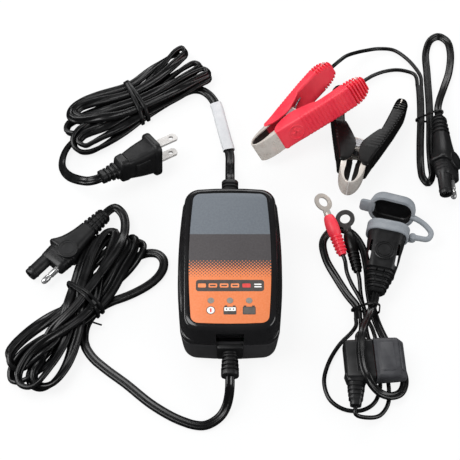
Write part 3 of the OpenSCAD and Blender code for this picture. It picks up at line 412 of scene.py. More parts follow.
def dress(tree, shader, colour, patch, gloss, high, height, strength, depth_mm):
    """Colour, gloss that follows the patches, and relief, linked to the shader."""
    rough = add(tree, "MapRange", {"From Min": 0.3, "From Max": high, "To Min": gloss[0],
                                   "To Max": gloss[1]}, {"Value": patch})
    bump = add(tree, "Bump", {"Strength": strength, "Distance": depth_mm * MM}, {"Height": height})
    for socket, output in (("Base Color", colour), ("Roughness", rough.outputs["Result"]),
                           ("Normal", bump.outputs["Normal"])):
        tree.links.new(output, shader.inputs[socket])


def tinted(tree, patch, *stops):
    """Colour that goes from one stop to another with the patches."""
    ramp = add(tree, "ValToRGB", None, {"Fac": patch})
    for stop, (place, code) in zip(ramp.color_ramp.elements, stops):
        stop.position, stop.color = place, linear(code)
    return ramp.outputs["Color"]


def moulded(name, colour, worn, rough, grain_mm, depth_mm, patch_mm, spread=0.07, **more):
    """Plastic or rubber from a mould: slow patches of colour and gloss, and a fine skin grain."""
    material, tree, shader, where = blank(name, more)
    patch = noise(tree, where, patch_mm, Detail=4, Roughness=0.6)
    tint = tinted(tree, patch, (0.35, colour), (0.72, worn))
    grain = noise(tree, where, grain_mm, Detail=2)
    dress(tree, shader, tint, patch, (rough - spread, rough + spread), 0.7, grain, 1.0, depth_mm)
    return material


def plated(name, colour, dull, rough, line_mm=0.12, depth_mm=0.002, patch_mm=5, metal=0.7):
    """Plated metal sheet or wire: fine drawing lines, and patches where the plating is duller."""
    material, tree, shader, where = blank(name, {"Metallic": metal})
    patch = noise(tree, where, patch_mm, Detail=5, Roughness=0.65)
    tint = tinted(tree, patch, (0.38, colour), (0.74, dull))
    drawn = add(tree, "Mapping", {"Scale": (1, 1, 8)}, {"Vector": where}).outputs["Vector"]
    lines = noise(tree, drawn, line_mm * 8, Detail=3)
    dress(tree, shader, tint, patch, (rough - 0.06, rough + 0.06), 0.75, lines, 0.7, depth_mm)
    return material


# ABS from a polished mould: a near mirror gloss with the faintest orange peel, 2 mm across
case_plastic = moulded("gloss_black_abs", "#181718", "#1d1d1e", 0.17, 2.0, 0.004, 30, 0.03,
                       IOR=1.52)
# ABS with a fine spark texture, 0.3 mm grain, so it is a little greyer and duller than the top
lower_case_plastic = moulded("spark_textured_abs", "#323132", "#3a393a", 0.38, 0.3, 0.02, 14, 0.05,
                             IOR=1.52)
# Extruded PVC jacket: smooth and slightly waxy, with long soft highlights
cord_vinyl = moulded("extruded_pvc_jacket", "#09090a", "#101011", 0.3, 0.45, 0.008, 8, 0.06,
                     IOR=1.53)
# Overmoulded PVC: matte mould skin, 0.35 mm grain
black_vinyl = moulded("overmoulded_pvc", "#121213", "#1b1b1c", 0.42, 0.35, 0.02, 7, 0.07, IOR=1.53)
# Shrunk white polyolefin film with soft wrinkles 3 mm apart
sleeve_film = moulded("white_shrink_film", "#cdced0", "#d9d9da", 0.38, 3.0, 0.12, 5, 0.05)
# Thin PVC coated tie wire
tie_wire = moulded("coated_tie_wire", "#0d0d0e", "#161617", 0.33, 0.4, 0.01, 4)
# Dipped soft PVC: smooth red with a slight bloom
red_grip_vinyl = moulded("red_soft_pvc", "#f02f45", "#f8414f", 0.42, 0.3, 0.012, 9, 0.06, IOR=1.53,
                         **{"Subsurface Weight": 0.06, "Subsurface Scale": 1.5 * MM})
black_grip_vinyl = moulded("black_soft_pvc", "#090808", "#100f0f", 0.36, 0.3, 0.012, 9, 0.06,
                           IOR=1.4)
# Moulded EPDM rubber: mid grey, dry, faint 0.25 mm grain
grey_rubber = moulded("grey_epdm", "#84898e", "#93979b", 0.55, 0.25, 0.02, 8, 0.06)
# Nylon of the fuse holder, its lid a little lighter, and the blade fuse's clear red
holder_plastic = moulded("fuse_holder_nylon", "#161617", "#212122", 0.4, 0.3, 0.015, 6)
holder_lid_plastic = moulded("fuse_lid_nylon", "#3a3a3d", "#48484b", 0.45, 0.3, 0.015, 6)
fuse_plastic = moulded("fuse_polycarbonate", "#b4292c", "#c63a38", 0.25, 0.6, 0.004, 6)
# Lenses over the lights, and what is inside the case
light_lens = moulded("diffusing_acrylic", "#86827c", "#97928b", 0.3, 0.2, 0.006, 1.4, 0.05)
board_laminate = moulded("fr4_laminate", "#1c6238", "#277545", 0.35, 0.5, 0.01, 3)
winding_wire = moulded("enamelled_copper", "#a4671f", "#c08432", 0.28, 0.5, 0.05, 2)
capacitor_sleeve = moulded("capacitor_pvc_sleeve", "#25345c", "#2f4070", 0.3, 0.8, 0.006, 5)
# Nickel plate over brass and steel
blade_metal = plated("nickel_plated_brass", "#d2cfcc", "#c2beba", 0.42, 0.15, metal=0.3)
contact_metal = plated("nickel_plated_contact", "#cfcfd0", "#b5b3af", 0.2, 0.1, metal=0.75)
jaw_plate = plated("nickel_plated_steel", "#f4ece3", "#e0d5ca", 0.25, 0.3, 0.003, 4, metal=0.38)
# painted shade: a darker plate for the faces inside the jaws' mouth, in place of the shade there
jaw_inside_painted_shade = plated("nickel_plate_painted_shade", "#5c5855", "#45423f", 0.5, 0.3, 0.003, 4, metal=0.3)
pivot_steel = plated("zinc_plated_pivot", "#c6c6c8", "#a9a9ac", 0.27, metal=0.6)
spring_steel = plated("spring_wire", "#a5a6a9", "#86878a", 0.25)
screw_steel = plated("zinc_plated_screw", "#93969a", "#7c7f84", 0.34)
core_steel = plated("silicon_steel_laminations", "#4c4d50", "#3a3b3d", 0.45, 0.5, 0.02)
terminal_tin = plated("tin_plated_copper", "#d3ccc4", "#beb4aa", 0.33, 0.2, 0.004, metal=0.4)
# painted shade: the black lead's terminal is the same tin plate, darkened for the shade it lies in
terminal_tin_in_shade = plated("tin_plate_painted_shade", "#4c4b4b", "#3a3939", 0.3, 0.2, 0.004, metal=0.6)

# ---- the charger's own cords ----

ac_tie_at, ac_heading = (-61.5, 133.0), 28
ac_stops = [
    ("run", -10, 1.8), ("fold", -53, -14.5, 8, 2.6, 1),
    ("run", -4, 1.8), ("fold", 55.8, -3, 3, 2.6, 1),
    ("run", -9.5, 5.2), ("fold", -50, -11.5, 5, 5.4, 1),
    ("run", -3.5, 5.2), ("fold", 54.2, 9, 3.4, 6.4, -1),
    ("run", 3, 1.8), ("fold", -52, 3, 6, 2.6, 1),
    ("run", 9.5, 1.8), ("fold", 46.5, 25, 3, 4.5, -1),
    ("run", 10.8, 8.8), ("fold", -46, 9.5, 10, 7.6, -1),
    ("run", -7, 9), ("fold", 56, -0.5, 3.4, 8.4, -1),
    ("run", -1.4, 9.6), ("fold", -42, 8.5, 5.4, 9, 1),
    ("run", 4.8, 9.6), ("fold", 50, 24, 3.4, 8.4, -1),
    ("run", 4, 5.4)]
ac_fold = folded(ac_tie_at, ac_heading, ac_stops)
AC_LEAD = [(0, 66, 14), (0, 70, 14), (0, 76.5, 9.5), (0, 83, 4.6), (0, 89, 2.6), (-0.2, 95, 2.4),
           (-3.2, 108, 2.4), (-6.4, 122, 2.4), (-9.6, 136, 2.4), (-13, 144.5, 2.2),
           (-17.8, 149.4, 2.0), (-25, 150.2, 1.8), (-37.5, 142, 1.8)]
plug_pose = ((-80.4, 65.8, 20.1), (-10, 9.5, 34.6))
AC_TAIL = [(-76, 121.5, 5.5), (-88, 114.5, 3.2), (-97, 108.6, 2.6), (-104, 101.6, 2.2),
           (-107, 95, 1.8), (-108, 87.4, 2.6), (-105.8, 79.6, 5.6), (-100.8, 72.2, 10.6),
           (-95, 66.6, 16.2), (-90, 63.6, 19.4), at(plug_pose, [(-5, 0, 0), (0.5, 0, 0)])]


def chain(*parts):
    """Points and runs of points as one run."""
    return np.concatenate([np.atleast_2d(np.array(p, float)) for part in parts
                           for p in (part if isinstance(part, list) else [part])])


dc_tie_at, dc_heading = (-87.0, -12.0), 48
dc_stops = [
    ("fold", -59, 5.5, 8, 2.4, -1),
    ("run", 6.5, 1.8), ("fold", 54, 4, 7, 2.6, 1),
    ("run", 0, 1.8), ("fold", -68, -7, 7.5, 3, 1),
    ("run", -11, 4.8), ("fold", 53, 8.5, 7.5, 6, -1),
    ("run", 10, 4.8), ("fold", -62, -18.5, 8, 3, 1),
    ("run", -4, 4.8), ("fold", 50, 15, 7, 8.6, -1),
    ("run", 4, 5), ("fold", -67.5, -13, 7.5, 8.4, 1),
    ("run", -8.5, 9.2), ("fold", 42, 23, 7.5, 4.6, -1),
    ("run", 9, 9.4), ("fold", -63, 0, 7.5, 7.6, 1),
    ("run", -2.6, 9.8), ("fold", 47, 19, 5, 9.4, -1),
    ("run", 3.4, 10), ("fold", -61, -21, 8, 7.6, 1),
    ("run", 0, 12.4)]
dc_fold = folded(dc_tie_at, dc_heading, dc_stops)
DC_LEAD = [(0, -66, 14), (0, -70, 14), (-0.5, -75, 9), (-2, -80, 4.5), (-6, -86, 2),
           (-15, -91, 1.7), (-27, -88.5, 1.7), (-44, -79, 1.7), (-61, -65, 1.7), (-74, -55, 1.7),
           (-82, -47.4, 1.7), (-86.5, -39, 1.8), (-86, -27, 1.8), (-80, -17.5, 1.8),
           (-73.5, -12.6, 1.9), (-64, -8.5, 1.8), (-54, -4, 1.7), (-45, 2, 1.7), (-39.4, 10, 1.7),
           (-38.8, 18, 1.7), (-43.4, 24, 1.7), (-52, 24.6, 1.8), (-62, 17, 1.8), (-78, -1, 1.8),
           (-88, -12.6, 1.8)]
dc_pose = ((-78, 47, 6.6), (0, 0, -131))
DC_TAIL = [(-71, 14, 12), (-66.4, 26, 9.6), (-65, 35, 8.4), (-65.4, 42, 7.6), (-67.2, 47.4, 7),
           (-70.4, 50.6, 6.8), at(dc_pose, [(-7, 0, 0), (0.5, 0, 0)])]


QUICK_STEPS, FULL_STEPS = 40, 150
# The shares of the lead and the tail that stay where they are laid, and the lengths over which
# the hank comes free and takes up its roll, in mm
LEAD_HELD, TAIL_HELD, LOOSEN, ROLL_UP = 0.62, 0.72, 12, 25


def hank_cord(name, lead, fold, tail, size, tie_at, heading, tie_size, reach, most, swaps,
              tail_roll):
    """A flat cord from the case through its hank to its end; the roll is turned up to `most`
    degrees at the folds, `reach` mm from the tie."""
    w, t = size
    line = spaced(smooth(chain(lead, [fold], tail), 1.0), 3.0)
    start, end = length_of(smooth(chain(lead), 1.0)), length_of(smooth(chain(tail), 1.0))
    along = np.linspace(0, length_of(line), len(line))
    free = (np.clip((along - start * LEAD_HELD) / LOOSEN, 0, 1)
            * np.clip((along[-1] - end * TAIL_HELD - along) / LOOSEN, 0, 1))
    roll = (hank_roll(line, tie_at, heading, reach, most) * free
            * np.clip((along - start) / ROLL_UP, 0, 1))
    roll += np.interp(along[-1] - along, *tail_roll)
    line = settle(line, w, t, roll, free, (tie_at, heading, *tie_size),
                  FULL_STEPS)
    fine = smooth(line[::2] if len(line) % 2 else np.concatenate([line[:-1:2], line[-1:]]), 1.4)
    twist = np.interp(np.linspace(0, 1, len(fine)), np.linspace(0, 1, len(roll)), roll)
    fine = lifted(fine, twin(w, t), twist)
    verts, faces = sweep(fine, twin(w, t), twist)
    made = piece(name, verts, faces, cord_vinyl, "charger", swaps, "cord_vinyl", crease=70)
    print("CORD", name, round(length_of(fine)), "mm")
    return made, fine


ac_cord, ac_line = hank_cord("ac_cord", AC_LEAD, ac_fold, AC_TAIL, (AC_W, AC_T), ac_tie_at,
                             ac_heading, (17.6, 7.0), 52, 66,
                             ("ac_cord_lead", "ac_cord_hank", "ac_cord_tail"),
                             ((0, 14, 40, 72, 100), (10, 14, 54, 50, 0)))
dc_cord, dc_line = hank_cord("dc_cord", DC_LEAD, dc_fold, DC_TAIL, (DC_W, DC_T), dc_tie_at,
                             dc_heading, (15.2, 7.6), 62, 60,
                             ("dc_cord_lead", "dc_cord_hank", "dc_cord_loop", "dc_cord_tail"),
                             ((0, 1), (0, 0)))

# ---- leads of single and twin wire ----


def plain_cord(name, route, w, t, body, swap, roll=0.0):
    """A cord along a route; a wide one is a twin cord, and its roll can change on the way."""
    line = smooth(route, 1.2)
    shape = twin(w, t) if w > t else disc(t / 2, 16)
    if not np.isscalar(roll):
        roll = np.interp(np.linspace(0, 1, len(line)), roll[0], roll[1])
    line = lifted(line, shape, roll)
    verts, faces = sweep(line, shape, roll)
    made = piece(name, verts, faces, cord_vinyl, body, (swap,), "cord_vinyl", crease=70)
    print("CORD", name, round(length_of(line)), "mm")
    return made, line


clamp_pose = ((135.6, 117.5, 11.2), (-50, 0, -88))
red_pose = ((41.8, 111.6, 16.8), (34, 11.6, -140))
black_pose = ((81.3, 92.1, 12.4), (-1, -5.4, -104.4))
wire_at = np.array([-46, -20.55, 0])
CLAMP_CORD = [(126.5, 150, 1.6), (126.5, 144, 1.6), (126.2, 135, 1.6), (125.4, 122, 1.6),
              (123.4, 100, 1.5), (122.6, 84, 1.5), (123.2, 77, 1.5), (126.1, 72.8, 1.5),
              (129, 77, 1.5), (129.4, 87, 1.5), (129.8, 101, 1.5), (131.2, 120, 1.6),
              (132, 138, 1.6), (132.4, 160, 1.5), (133, 178, 1.5), (137, 188, 1.5),
              (142.6, 191, 1.5), (148, 187, 1.5), (149.6, 178, 1.5), (147.4, 162, 1.6),
              (142, 146, 3.6), (137.6, 133, 8.4), at(clamp_pose, [(-6, 0, 0), (0.6, 0, 0)])]
RED_WIRE = [at(red_pose, [wire_at + [1, 0, 0], wire_at - [6, 0, 0]]), (77, 164.6, 14.6),
            (84, 171, 10), (92, 176.6, 5.4), (101, 180.4, 2.4), (111, 180, 1.5), (119, 173.4, 1.5),
            (124.8, 165, 1.5), (127.9, 157.6, 1.6), (127.9, 150, 1.6)]
BLACK_WIRE = [at(black_pose, [wire_at + [3, 0, 0], wire_at]), (74.6, 144.4, 8.2),
              (79.6, 145.4, 7.2), (86, 149.2, 5.2), (91, 153.4, 4), (96.4, 157.8, 2.8),
              (104, 161.6, 1.9), (112.4, 163.2, 1.5), (119.6, 161.8, 1.5), (123.9, 159.4, 1.5),
              (125.1, 155.6, 1.6), (125.1, 150, 1.6)]
clamp_cord, clamp_line = plain_cord("clamp_twin_cord", chain(CLAMP_CORD), LEAD_W, LEAD_T,
                                    "clamp_lead", "clamp_cord",
                                    roll=[(0, 0.2, 0.27, 0.36, 0.62, 0.7, 0.8, 1),
                                          (0, 0, 55, 0, 0, 50, 0, 30)])
red_wire, red_line = plain_cord("red_clamp_wire", chain(RED_WIRE), LEAD_T, LEAD_T, "clamp_lead",
                                "clamp_red_wire")
black_wire, black_line = plain_cord("black_clamp_wire", chain(BLACK_WIRE), LEAD_T, LEAD_T,
                                    "clamp_lead", "clamp_black_wire")

weather_pose = ((87.5, -10, 9.7), (0, 0, 77))
holder_pose = ((83.6, -54.4, 10.35), (0, 0, 3))
red_boot_pose = ((60.8, 42.4, 12.6), (24, -8.2, 107.8))
black_boot_pose = ((73.4, 34.4, 5.8), (-12, -4, 100))
GLAND_TURN = -97
gland = np.array([-11.0, -9.5, 0])
gland_way = np.array([*compass(GLAND_TURN)[0], 0])
RING_CORD = [at(weather_pose, [(0.6, 0, 0), (-6, 0, 0)]), (83.4, -23, 10.6), (79.6, -32, 15),
             (77, -40, 18.3), (76, -52, 18.4), (76.8, -62, 18.2), (78.8, -67.4, 17.4),
             (82.4, -71.8, 13.4), (87, -74.2, 9), (93, -74.6, 6), (99, -71.4, 3.4), (102, -64, 1.6),
             (100.6, -55, 1.5), (96, -45, 1.5), (91, -34, 1.5), (87.6, -24, 1.5), (85.8, -15, 1.5),
             (84.6, -4, 1.5), (84.2, 12, 1.5), (81.6, 27, 1.5), (75, 37, 1.5), (65, 39, 1.5),
             (58, 31, 1.5), (59, 18, 1.5), (65.4, 4, 1.5), (71.4, -7, 1.5), (76.4, -14.5, 1.5),
             (77, -18, 1.6), (77, -22.5, 1.6)]
RING_BLACK = [at(black_boot_pose, [(-26, 0, 0), (-31, 0, 0)]), (79.4, -7, 2), (80.9, -17, 1.5),
              (81.3, -24, 1.5), (81.8, -32, 1.5), (84.2, -44, 1.5), (86.8, -58, 1.5),
              (87.6, -67, 1.5), (83.6, -77, 1.5), (76, -81.6, 1.5), (66, -81, 1.5), (58, -75, 1.5),
              (55, -64, 1.5), (58, -52, 1.5), (65, -40, 1.5), (73, -31.4, 1.5), (75.6, -27, 1.6),
              (75.6, -22.5, 1.6)]
RING_RED = [at(red_boot_pose, [(-26, 0, 0), (-31, 0, 0)]), (71.2, 7, 5.4), (73.8, -1, 5),
            (77.6, -9, 4.5), (80.6, -17, 4.4), (82, -24, 4.4), (84.8, -30.4, 3.6), (87, -38, 1.8),
            (89, -48, 1.5), (91.6, -58, 1.5), (92.6, -68, 1.5), (91.4, -78, 1.5), (86.4, -85, 2.4),
            (79.6, -87.6, 5.4), at(holder_pose, [gland + 23 * gland_way, gland + 17.4 * gland_way])]
RING_FUSE = [(78.4, -22.5, 1.6), (78.4, -26, 1.6), (77.9, -30.6, 4.6), (77, -34.6, 8.2),
             at(holder_pose, [(-8, 16.5, 0), (-8, 12.2, 0)])]
ring_cord, ring_line = plain_cord("ring_twin_cord", chain(RING_CORD), LEAD_W, LEAD_T, "ring_lead",
                                  "ring_cord", roll=[(0, 0.1, 0.2, 0.3, 0.5, 0.75, 0.85, 1),
                                                     (0, 25, 10, 0, 0, 0, 40, 0)])
ring_black, ring_black_line = plain_cord("ring_black_wire_run", chain(RING_BLACK), LEAD_T, LEAD_T,
                                         "ring_lead", "ring_black_wire")
ring_red, ring_red_line = plain_cord("ring_fused_wire_run", chain(RING_RED), LEAD_T, LEAD_T,
                                     "ring_lead", "ring_red_wire")
ring_fuse, _ = plain_cord("fuse_wire_run", chain(RING_FUSE), LEAD_T, LEAD_T, "ring_lead",
                          "ring_fuse_wire")

# ---- charger case ----


def barrel(end, middle, half_l, r, y=0.0, bow=0.8):
    """Outline of the case: bulged sides, slightly bowed ends, corners of radius r."""
    n = 9
    s = half_l - bow - r
    q = []
    for k in range(n + 1):
        v = -s + 2 * s * k / (n + 1)
        if k:
            q.append((end + (middle - end) * (1 - (v / s) ** 2), v))
    corner = [(end - r + r * math.cos(math.pi * k / 2 / n), s + r * math.sin(math.pi * k / 2 / n))
              for k in range(n + 1)]
    bowed = [(x * (end - r), s + r + bow * (1 - x * x)) for x in (0.5, 0)]
    back = (corner + bowed[:1])[::-1]
    right = q + corner + bowed
    left = [(-x, v) for x, v in back] + [(-x, v) for x, v in q[::-1]]
    low = [(-x, -v) for x, v in corner + bowed] + [(x, -v) for x, v in back]
    return [(x, v + y) for x, v in right + left + low]


def tower(levels):
    """Body along +Z; a level is a height and an outline."""
    return skin([[(x, y, z) for x, y in outline] for z, outline in levels])


def block(x0, x1, y0, y1, z0, z1):
    """Box between two corners."""
    return skin([[(x0, y0, z), (x1, y0, z), (x1, y1, z), (x0, y1, z)] for z in (z0, z1)])


def rod(x, y, z0, z1, r):
    """Cylinder along +Z."""
    return skin([[(x + a, y + b, z) for a, b in disc(r, 32)] for z in (z0, z1)])


def carve(made, shapes, how="DIFFERENCE", crease=35):
    """Cut closed shapes out of a piece, or add them, and keep the result as its mesh."""
    for verts, faces in shapes:
        mesh = mesh_of("cutter", verts, faces)
        tool = placed("cutter", mesh)
        cut = made.modifiers.new("cut", "BOOLEAN")
        cut.operation, cut.object, cut.solver = how, tool, "EXACT"
        graph = bpy.context.evaluated_depsgraph_get()
        result = bpy.data.meshes.new_from_object(made.evaluated_get(graph))
        made.modifiers.remove(cut)
        old, made.data = made.data, result
        bpy.data.objects.remove(tool)
        bpy.data.meshes.remove(mesh)
        bpy.data.meshes.remove(old)
    shade(made.data, crease)
    return made


SEAM = 22.0
LIGHTS = [(x, -29) for x in (-11, 0, 11)]
SCREWS = [(x, y) for x in (-18.8, 18.8) for y in (-34.8, 34.8)]


def edge_levels(z0, z1, out, steps):
    """Levels of a rounded upper edge: (height, how far drawn in)."""
    angles = [math.pi / 2 * k / steps for k in range(steps + 1)]
    return [(z0 + (z1 - z0) * math.sin(a), out * (1 - math.cos(a))) for a in angles]


# lower half: tapered walls, a rolled bottom edge, a fine shadow groove under the seam
lower = []
for k in range(7):
    bend = math.pi / 2 * k / 6
    drawn_in = 2.2 * (1 - math.sin(bend))
    lower.append((2.2 - 2.2 * math.cos(bend), barrel(29 - 1.4 - drawn_in, 31 - 1.4 - drawn_in,
                                                     49.3 - drawn_in, 8 + k / 6)))
lower += [(z, barrel(27.6 + 1.4 * z / SEAM, 29.6 + 1.4 * z / SEAM, 49.3 + 0.7 * z / SEAM, 9))
          for z in (6, 12, 18, 21.2)]
lower += [(21.45, barrel(28.6, 30.6, 49.6, 9)), (22.0, barrel(28.6, 30.6, 49.6, 9))]
case_lower = piece("case_lower_half", *tower(lower), lower_case_plastic, "charger",
                   ("case_bottom",), "lower_case_plastic")
inner_low = [(2.2, barrel(24.6, 26.6, 46, 7)), (8, barrel(26, 28, 47.3, 8)),
             (30, barrel(26.6, 28.6, 47.6, 8))]
carve(case_lower, [tower(inner_low)] + [block(-7.65, 7.65, y0, y1, 6.35, 30)
                                        for y0, y1 in ((-55, -48.8), (48.8, 55))])
carve(case_lower, [raised(x, y, [(0.9, 4.5), (22, 3.3)], 32) for x, y in SCREWS], "UNION")
carve(case_lower, [rod(x, y, z0, z1, r) for z0, z1, r in ((-1, 3, 3.1), (2, 30, 1.65))
                   for x, y in SCREWS])

# upper half: the deck block, the lower side wings that it rises out of, and the rim over the seam
deck = [(22.05, barrel(28.2, 29.4, 49.7, 10)), (28, barrel(27.9, 28.9, 49.2, 9.6)),
        (32.6, barrel(27.5, 28.2, 48.5, 9.2))]
deck += [(z, barrel(27.35 - d, 28.0 - d, 48.1 - d, 9.2 - d * 0.5))
         for z, d in edge_levels(34.4, 37.95, 2.9, 7)]
deck += [(38.0, barrel(24.2, 24.85, 44.95, 7.4)), (37.95, barrel(23.95, 24.6, 44.7, 7.2)),
         (37.62, barrel(23.75, 24.4, 44.5, 7))]
wing = [(22.05, barrel(28.8, 31, 41.5, 7, -5.5)), (26.2, barrel(28.5, 30.65, 41.1, 7, -5.5))]
wing += [(z, barrel(28.5 - d, 30.65 - d, 41.1 - d, 7, -5.5))
         for z, d in edge_levels(26.8, 29.5, 2.2, 6)[1:]]
rim = [(22.15, barrel(29, 31, 50, 9)), (23.6, barrel(28.95, 30.95, 49.95, 9))]
rim += [(z, barrel(28.95 - d, 30.95 - d, 49.95 - d, 9))
        for z, d in edge_levels(23.8, 25.2, 1.3, 4)[1:]]
case_upper = piece("case_upper_half", *tower(deck), case_plastic, "charger", ("case_top",),
                   "case_plastic")
carve(case_upper, [tower(wing), tower(rim)], "UNION")
hollow = [(20, barrel(26.2, 27.4, 47.4, 8)), (29, barrel(25.6, 26.6, 46.9, 8)),
          (35.4, barrel(24.4, 25, 45.2, 7))]
carve(case_upper, [tower(hollow)])
carve(case_upper, [rod(x, y, 20, 36, 3.3) for x, y in SCREWS]
      + [block(-10.2, 10.2, -46.6, -43.4, 21, 35.6)], "UNION")
carve(case_upper, [block(-8, 8, -60, -44.9, 19, 33.5), block(-4, 4, 40, 56, 9, 19)]
      + [rod(x, y, 34, 40, 1.95) for x, y in LIGHTS]
      + [rod(x, y, 19, 31.8, 1.5) for x, y in SCREWS], crease=40)
soft_edge = case_upper.modifiers.new("edge", "BEVEL")
soft_edge.width, soft_edge.segments = 0.25 * MM, 2
soft_edge.limit_method, soft_edge.angle_limit = "ANGLE", math.radians(50)

# printed polyester label, slightly barrelled like the deck
label_rim = [(x, y - 0.1) for x, y in barrel(22.5, 24.1, 43.5, 4.6, bow=0.5)]
label_rim = [(x * (1 - 0.018 * max(0, y) / 43), y) for x, y in label_rim]
v, f = skin([[(x * kx, y * ky, z) for x, y in label_rim]
             for kx, ky, z in ((1, 1, 37.55), (1, 1, 37.86), (0.996, 0.998, 37.9))])
label = piece("printed_label", v, f, None, "charger", ("front_label",), "label_film")
carve(label, [rod(x, y, 36, 40, 1.9) for x, y in LIGHTS])

DOT_PITCH = 2.05        # mm, along the diagonals of the halftone
FADE_FROM, FADE_TO, GREY_FROM = -13.4, -2.4, 14.9       # mm up the label


def label_print():
    """Screen print on matt polyester: three flat inks, the lower two met by a halftone."""
    material, tree, shader, where = blank("printed_polyester_label", {"IOR": 1.49})

    def maths(kind, a, b=None):
        """A sum, product or test of outputs and numbers."""
        pair = {i: v for i, v in enumerate((a, b)) if v is not None}
        numbers = {i: v for i, v in pair.items() if isinstance(v, float)}
        outputs = {i: v for i, v in pair.items() if i not in numbers}
        return add(tree, "Math", {"operation": kind, **numbers}, outputs).outputs[0]

    def ramp(x0, x1, y0, y1):
        """A value that goes from y0 to y1 between two heights on the label."""
        ends = {"From Min": x0, "From Max": x1, "To Min": y0, "To Max": y1}
        return add(tree, "MapRange", ends, {"Value": y}).outputs["Result"]

    place = add(tree, "SeparateXYZ", None, {0: where})
    x, y = (maths("MULTIPLY", place.outputs[axis], 1000.0) for axis in "XY")
    waves = [maths("COSINE", maths("MULTIPLY", maths(kind, x, y), 2 * math.pi / DOT_PITCH))
             for kind in ("ADD", "SUBTRACT")]
    fade = ramp(FADE_FROM, FADE_TO, -1.45, 1.45)
    for low, high, first, last in ((FADE_FROM - 0.05, FADE_FROM, -3, 0),
                                   (FADE_TO, FADE_TO + 0.05, 0, 3)):
        fade = maths("ADD", fade, ramp(low, high, first, last))
    orange = maths("GREATER_THAN", maths("ADD", *waves), fade)
    grey = maths("GREATER_THAN", y, GREY_FROM)
    speck = add(tree, "TexNoise", {"Scale": 900.0, "Detail": 2}, {"Vector": where}).outputs["Fac"]
    inks = [tinted(tree, speck, (0.35, a), (0.7, b))
            for a, b in (("#474344", "#4e4a4b"), ("#e37c45", "#e78654"), ("#646a71", "#6c7278"))]
    mixed = inks[0]
    for over, other in ((orange, inks[1]), (grey, inks[2])):
        mixed = add(tree, "Mix", {"data_type": "RGBA"}, {0: over, 6: mixed, 7: other}).outputs[2]
    dress(tree, shader, mixed, speck, (0.42, 0.52), 0.7, speck, 0.6, 0.01)
    return material


label_film = label_print()
label.data.materials.clear()
label.data.materials.append(label_film)

# ---- charger details ----

# lower and upper face of the ink layers, printed one over the other
FIRST, SECOND, THIRD = (37.86, 37.93), (37.9, 37.96), (37.92, 37.985)


def flat(name, outlines, layer, finish):
    """Printed areas of one ink."""
    areas = [skin([[(x, y, z) for x, y in o] for z in layer]) for o in outlines]
    return piece(name, *joined(*areas), finish, "charger", slot="label_film")


def chip(x, y, w, h, r):
    """Outline of a rounded oblong about a point."""
    return [(x + a, y + b) for a, b in rounded(w, h, r, 5)]


def spot(r):
    """Outline of the round sign under the first light."""
    return [(-11 + x, -35.2 + y) for x, y in disc(r, 40)]


def battery(x):
    """Outlines of a battery with its two poles."""
    poles = [chip(x + d, -32.6, 1.5, 0.9, 0.2) for d in (-2.4, 2.4)]
    return [chip(x, -35.4, 7.4, 5.0, 0.5), *poles]


def ink(name, code, second):
    """A matt ink."""
    return moulded(name + "_screen_ink", code, second, 0.45, 1.1, 0.006, 3)


dark_ink = ink("charcoal", "#48433f", "#504a46")
white_ink = ink("white", "#f1efea", "#fbf9f5")
orange_ink = ink("orange", "#f08a52", "#f79a68")
red_ink = ink("red", "#d9423f", "#e04f4a")
grey_ink = ink("grey", "#5b5652", "#635d59")
flat("status_bar", [chip(0, -19.3, 39.4, 7.4, 1.7)], FIRST, dark_ink)
flat("status_chips", [chip(x, -19.3, w, 2.6, 0.6)
                      for x, w in ((-16.2, 4.6), (-9.9, 5), (-3.4, 5), (2.9, 4.8))], SECOND,
     orange_ink)
flat("status_chip_marks", [chip(x, -19.3, w, 0.9, 0.3)
                           for x, w in ((-9.9, 3.4), (-3.4, 3.4), (2.9, 3.2))], THIRD, dark_ink)
flat("status_chip_red", [chip(9.5, -19.3, 4.8, 2.6, 0.6)], SECOND, red_ink)
flat("status_lines", [chip(16.1, y, 4.2, 0.8, 0.3) for y in (-18.5, -20.1)], SECOND, white_ink)
flat("lamp_sign_rim", [spot(2.55)], FIRST, dark_ink)
flat("lamp_sign", [spot(2.15)], SECOND, white_ink)
flat("lamp_sign_bar", [chip(-11, -35.2, 0.95, 2.6, 0.4)], THIRD, red_ink)
flat("battery_sign_0", battery(0), FIRST, dark_ink)
flat("battery_sign_cells", [chip(0, -34.5, 6.5, 2.3, 0.3)], SECOND, white_ink)
flat("battery_sign_dots", [chip(d, -34.5, 0.8, 0.9, 0.3) for d in (-2, 0, 2)], THIRD, dark_ink)
flat("battery_sign_11", battery(11), FIRST, dark_ink)
flat("battery_sign_full", [chip(11, -35.4, 6.4, 4.0, 0.3)], SECOND, grey_ink)

CORNER = 0.42       # corner radius of a rib as a share of its thickness


def ribs(x0, x1, count, w0, w1, t0, t1, groove):
    """Sections of ribs with rounded edges between x0 and x1."""
    out, p = [], (x1 - x0) / count
    for k in range(count):
        f = k / max(1, count - 1)
        w, t = w0 + (w1 - w0) * f, t0 + (t1 - t0) * f
        for u, g in ((0.02, 1), (0.2, 1), (0.24, 0.35), (0.3, 0), (0.64, 0), (0.7, 0.35), (0.74, 1),
                     (0.98, 1)):
            out.append([x0 + p * (k + u), w - 2 * g * groove, t - 2 * g * groove,
                        (t - 2 * g * groove) * CORNER])
    return out


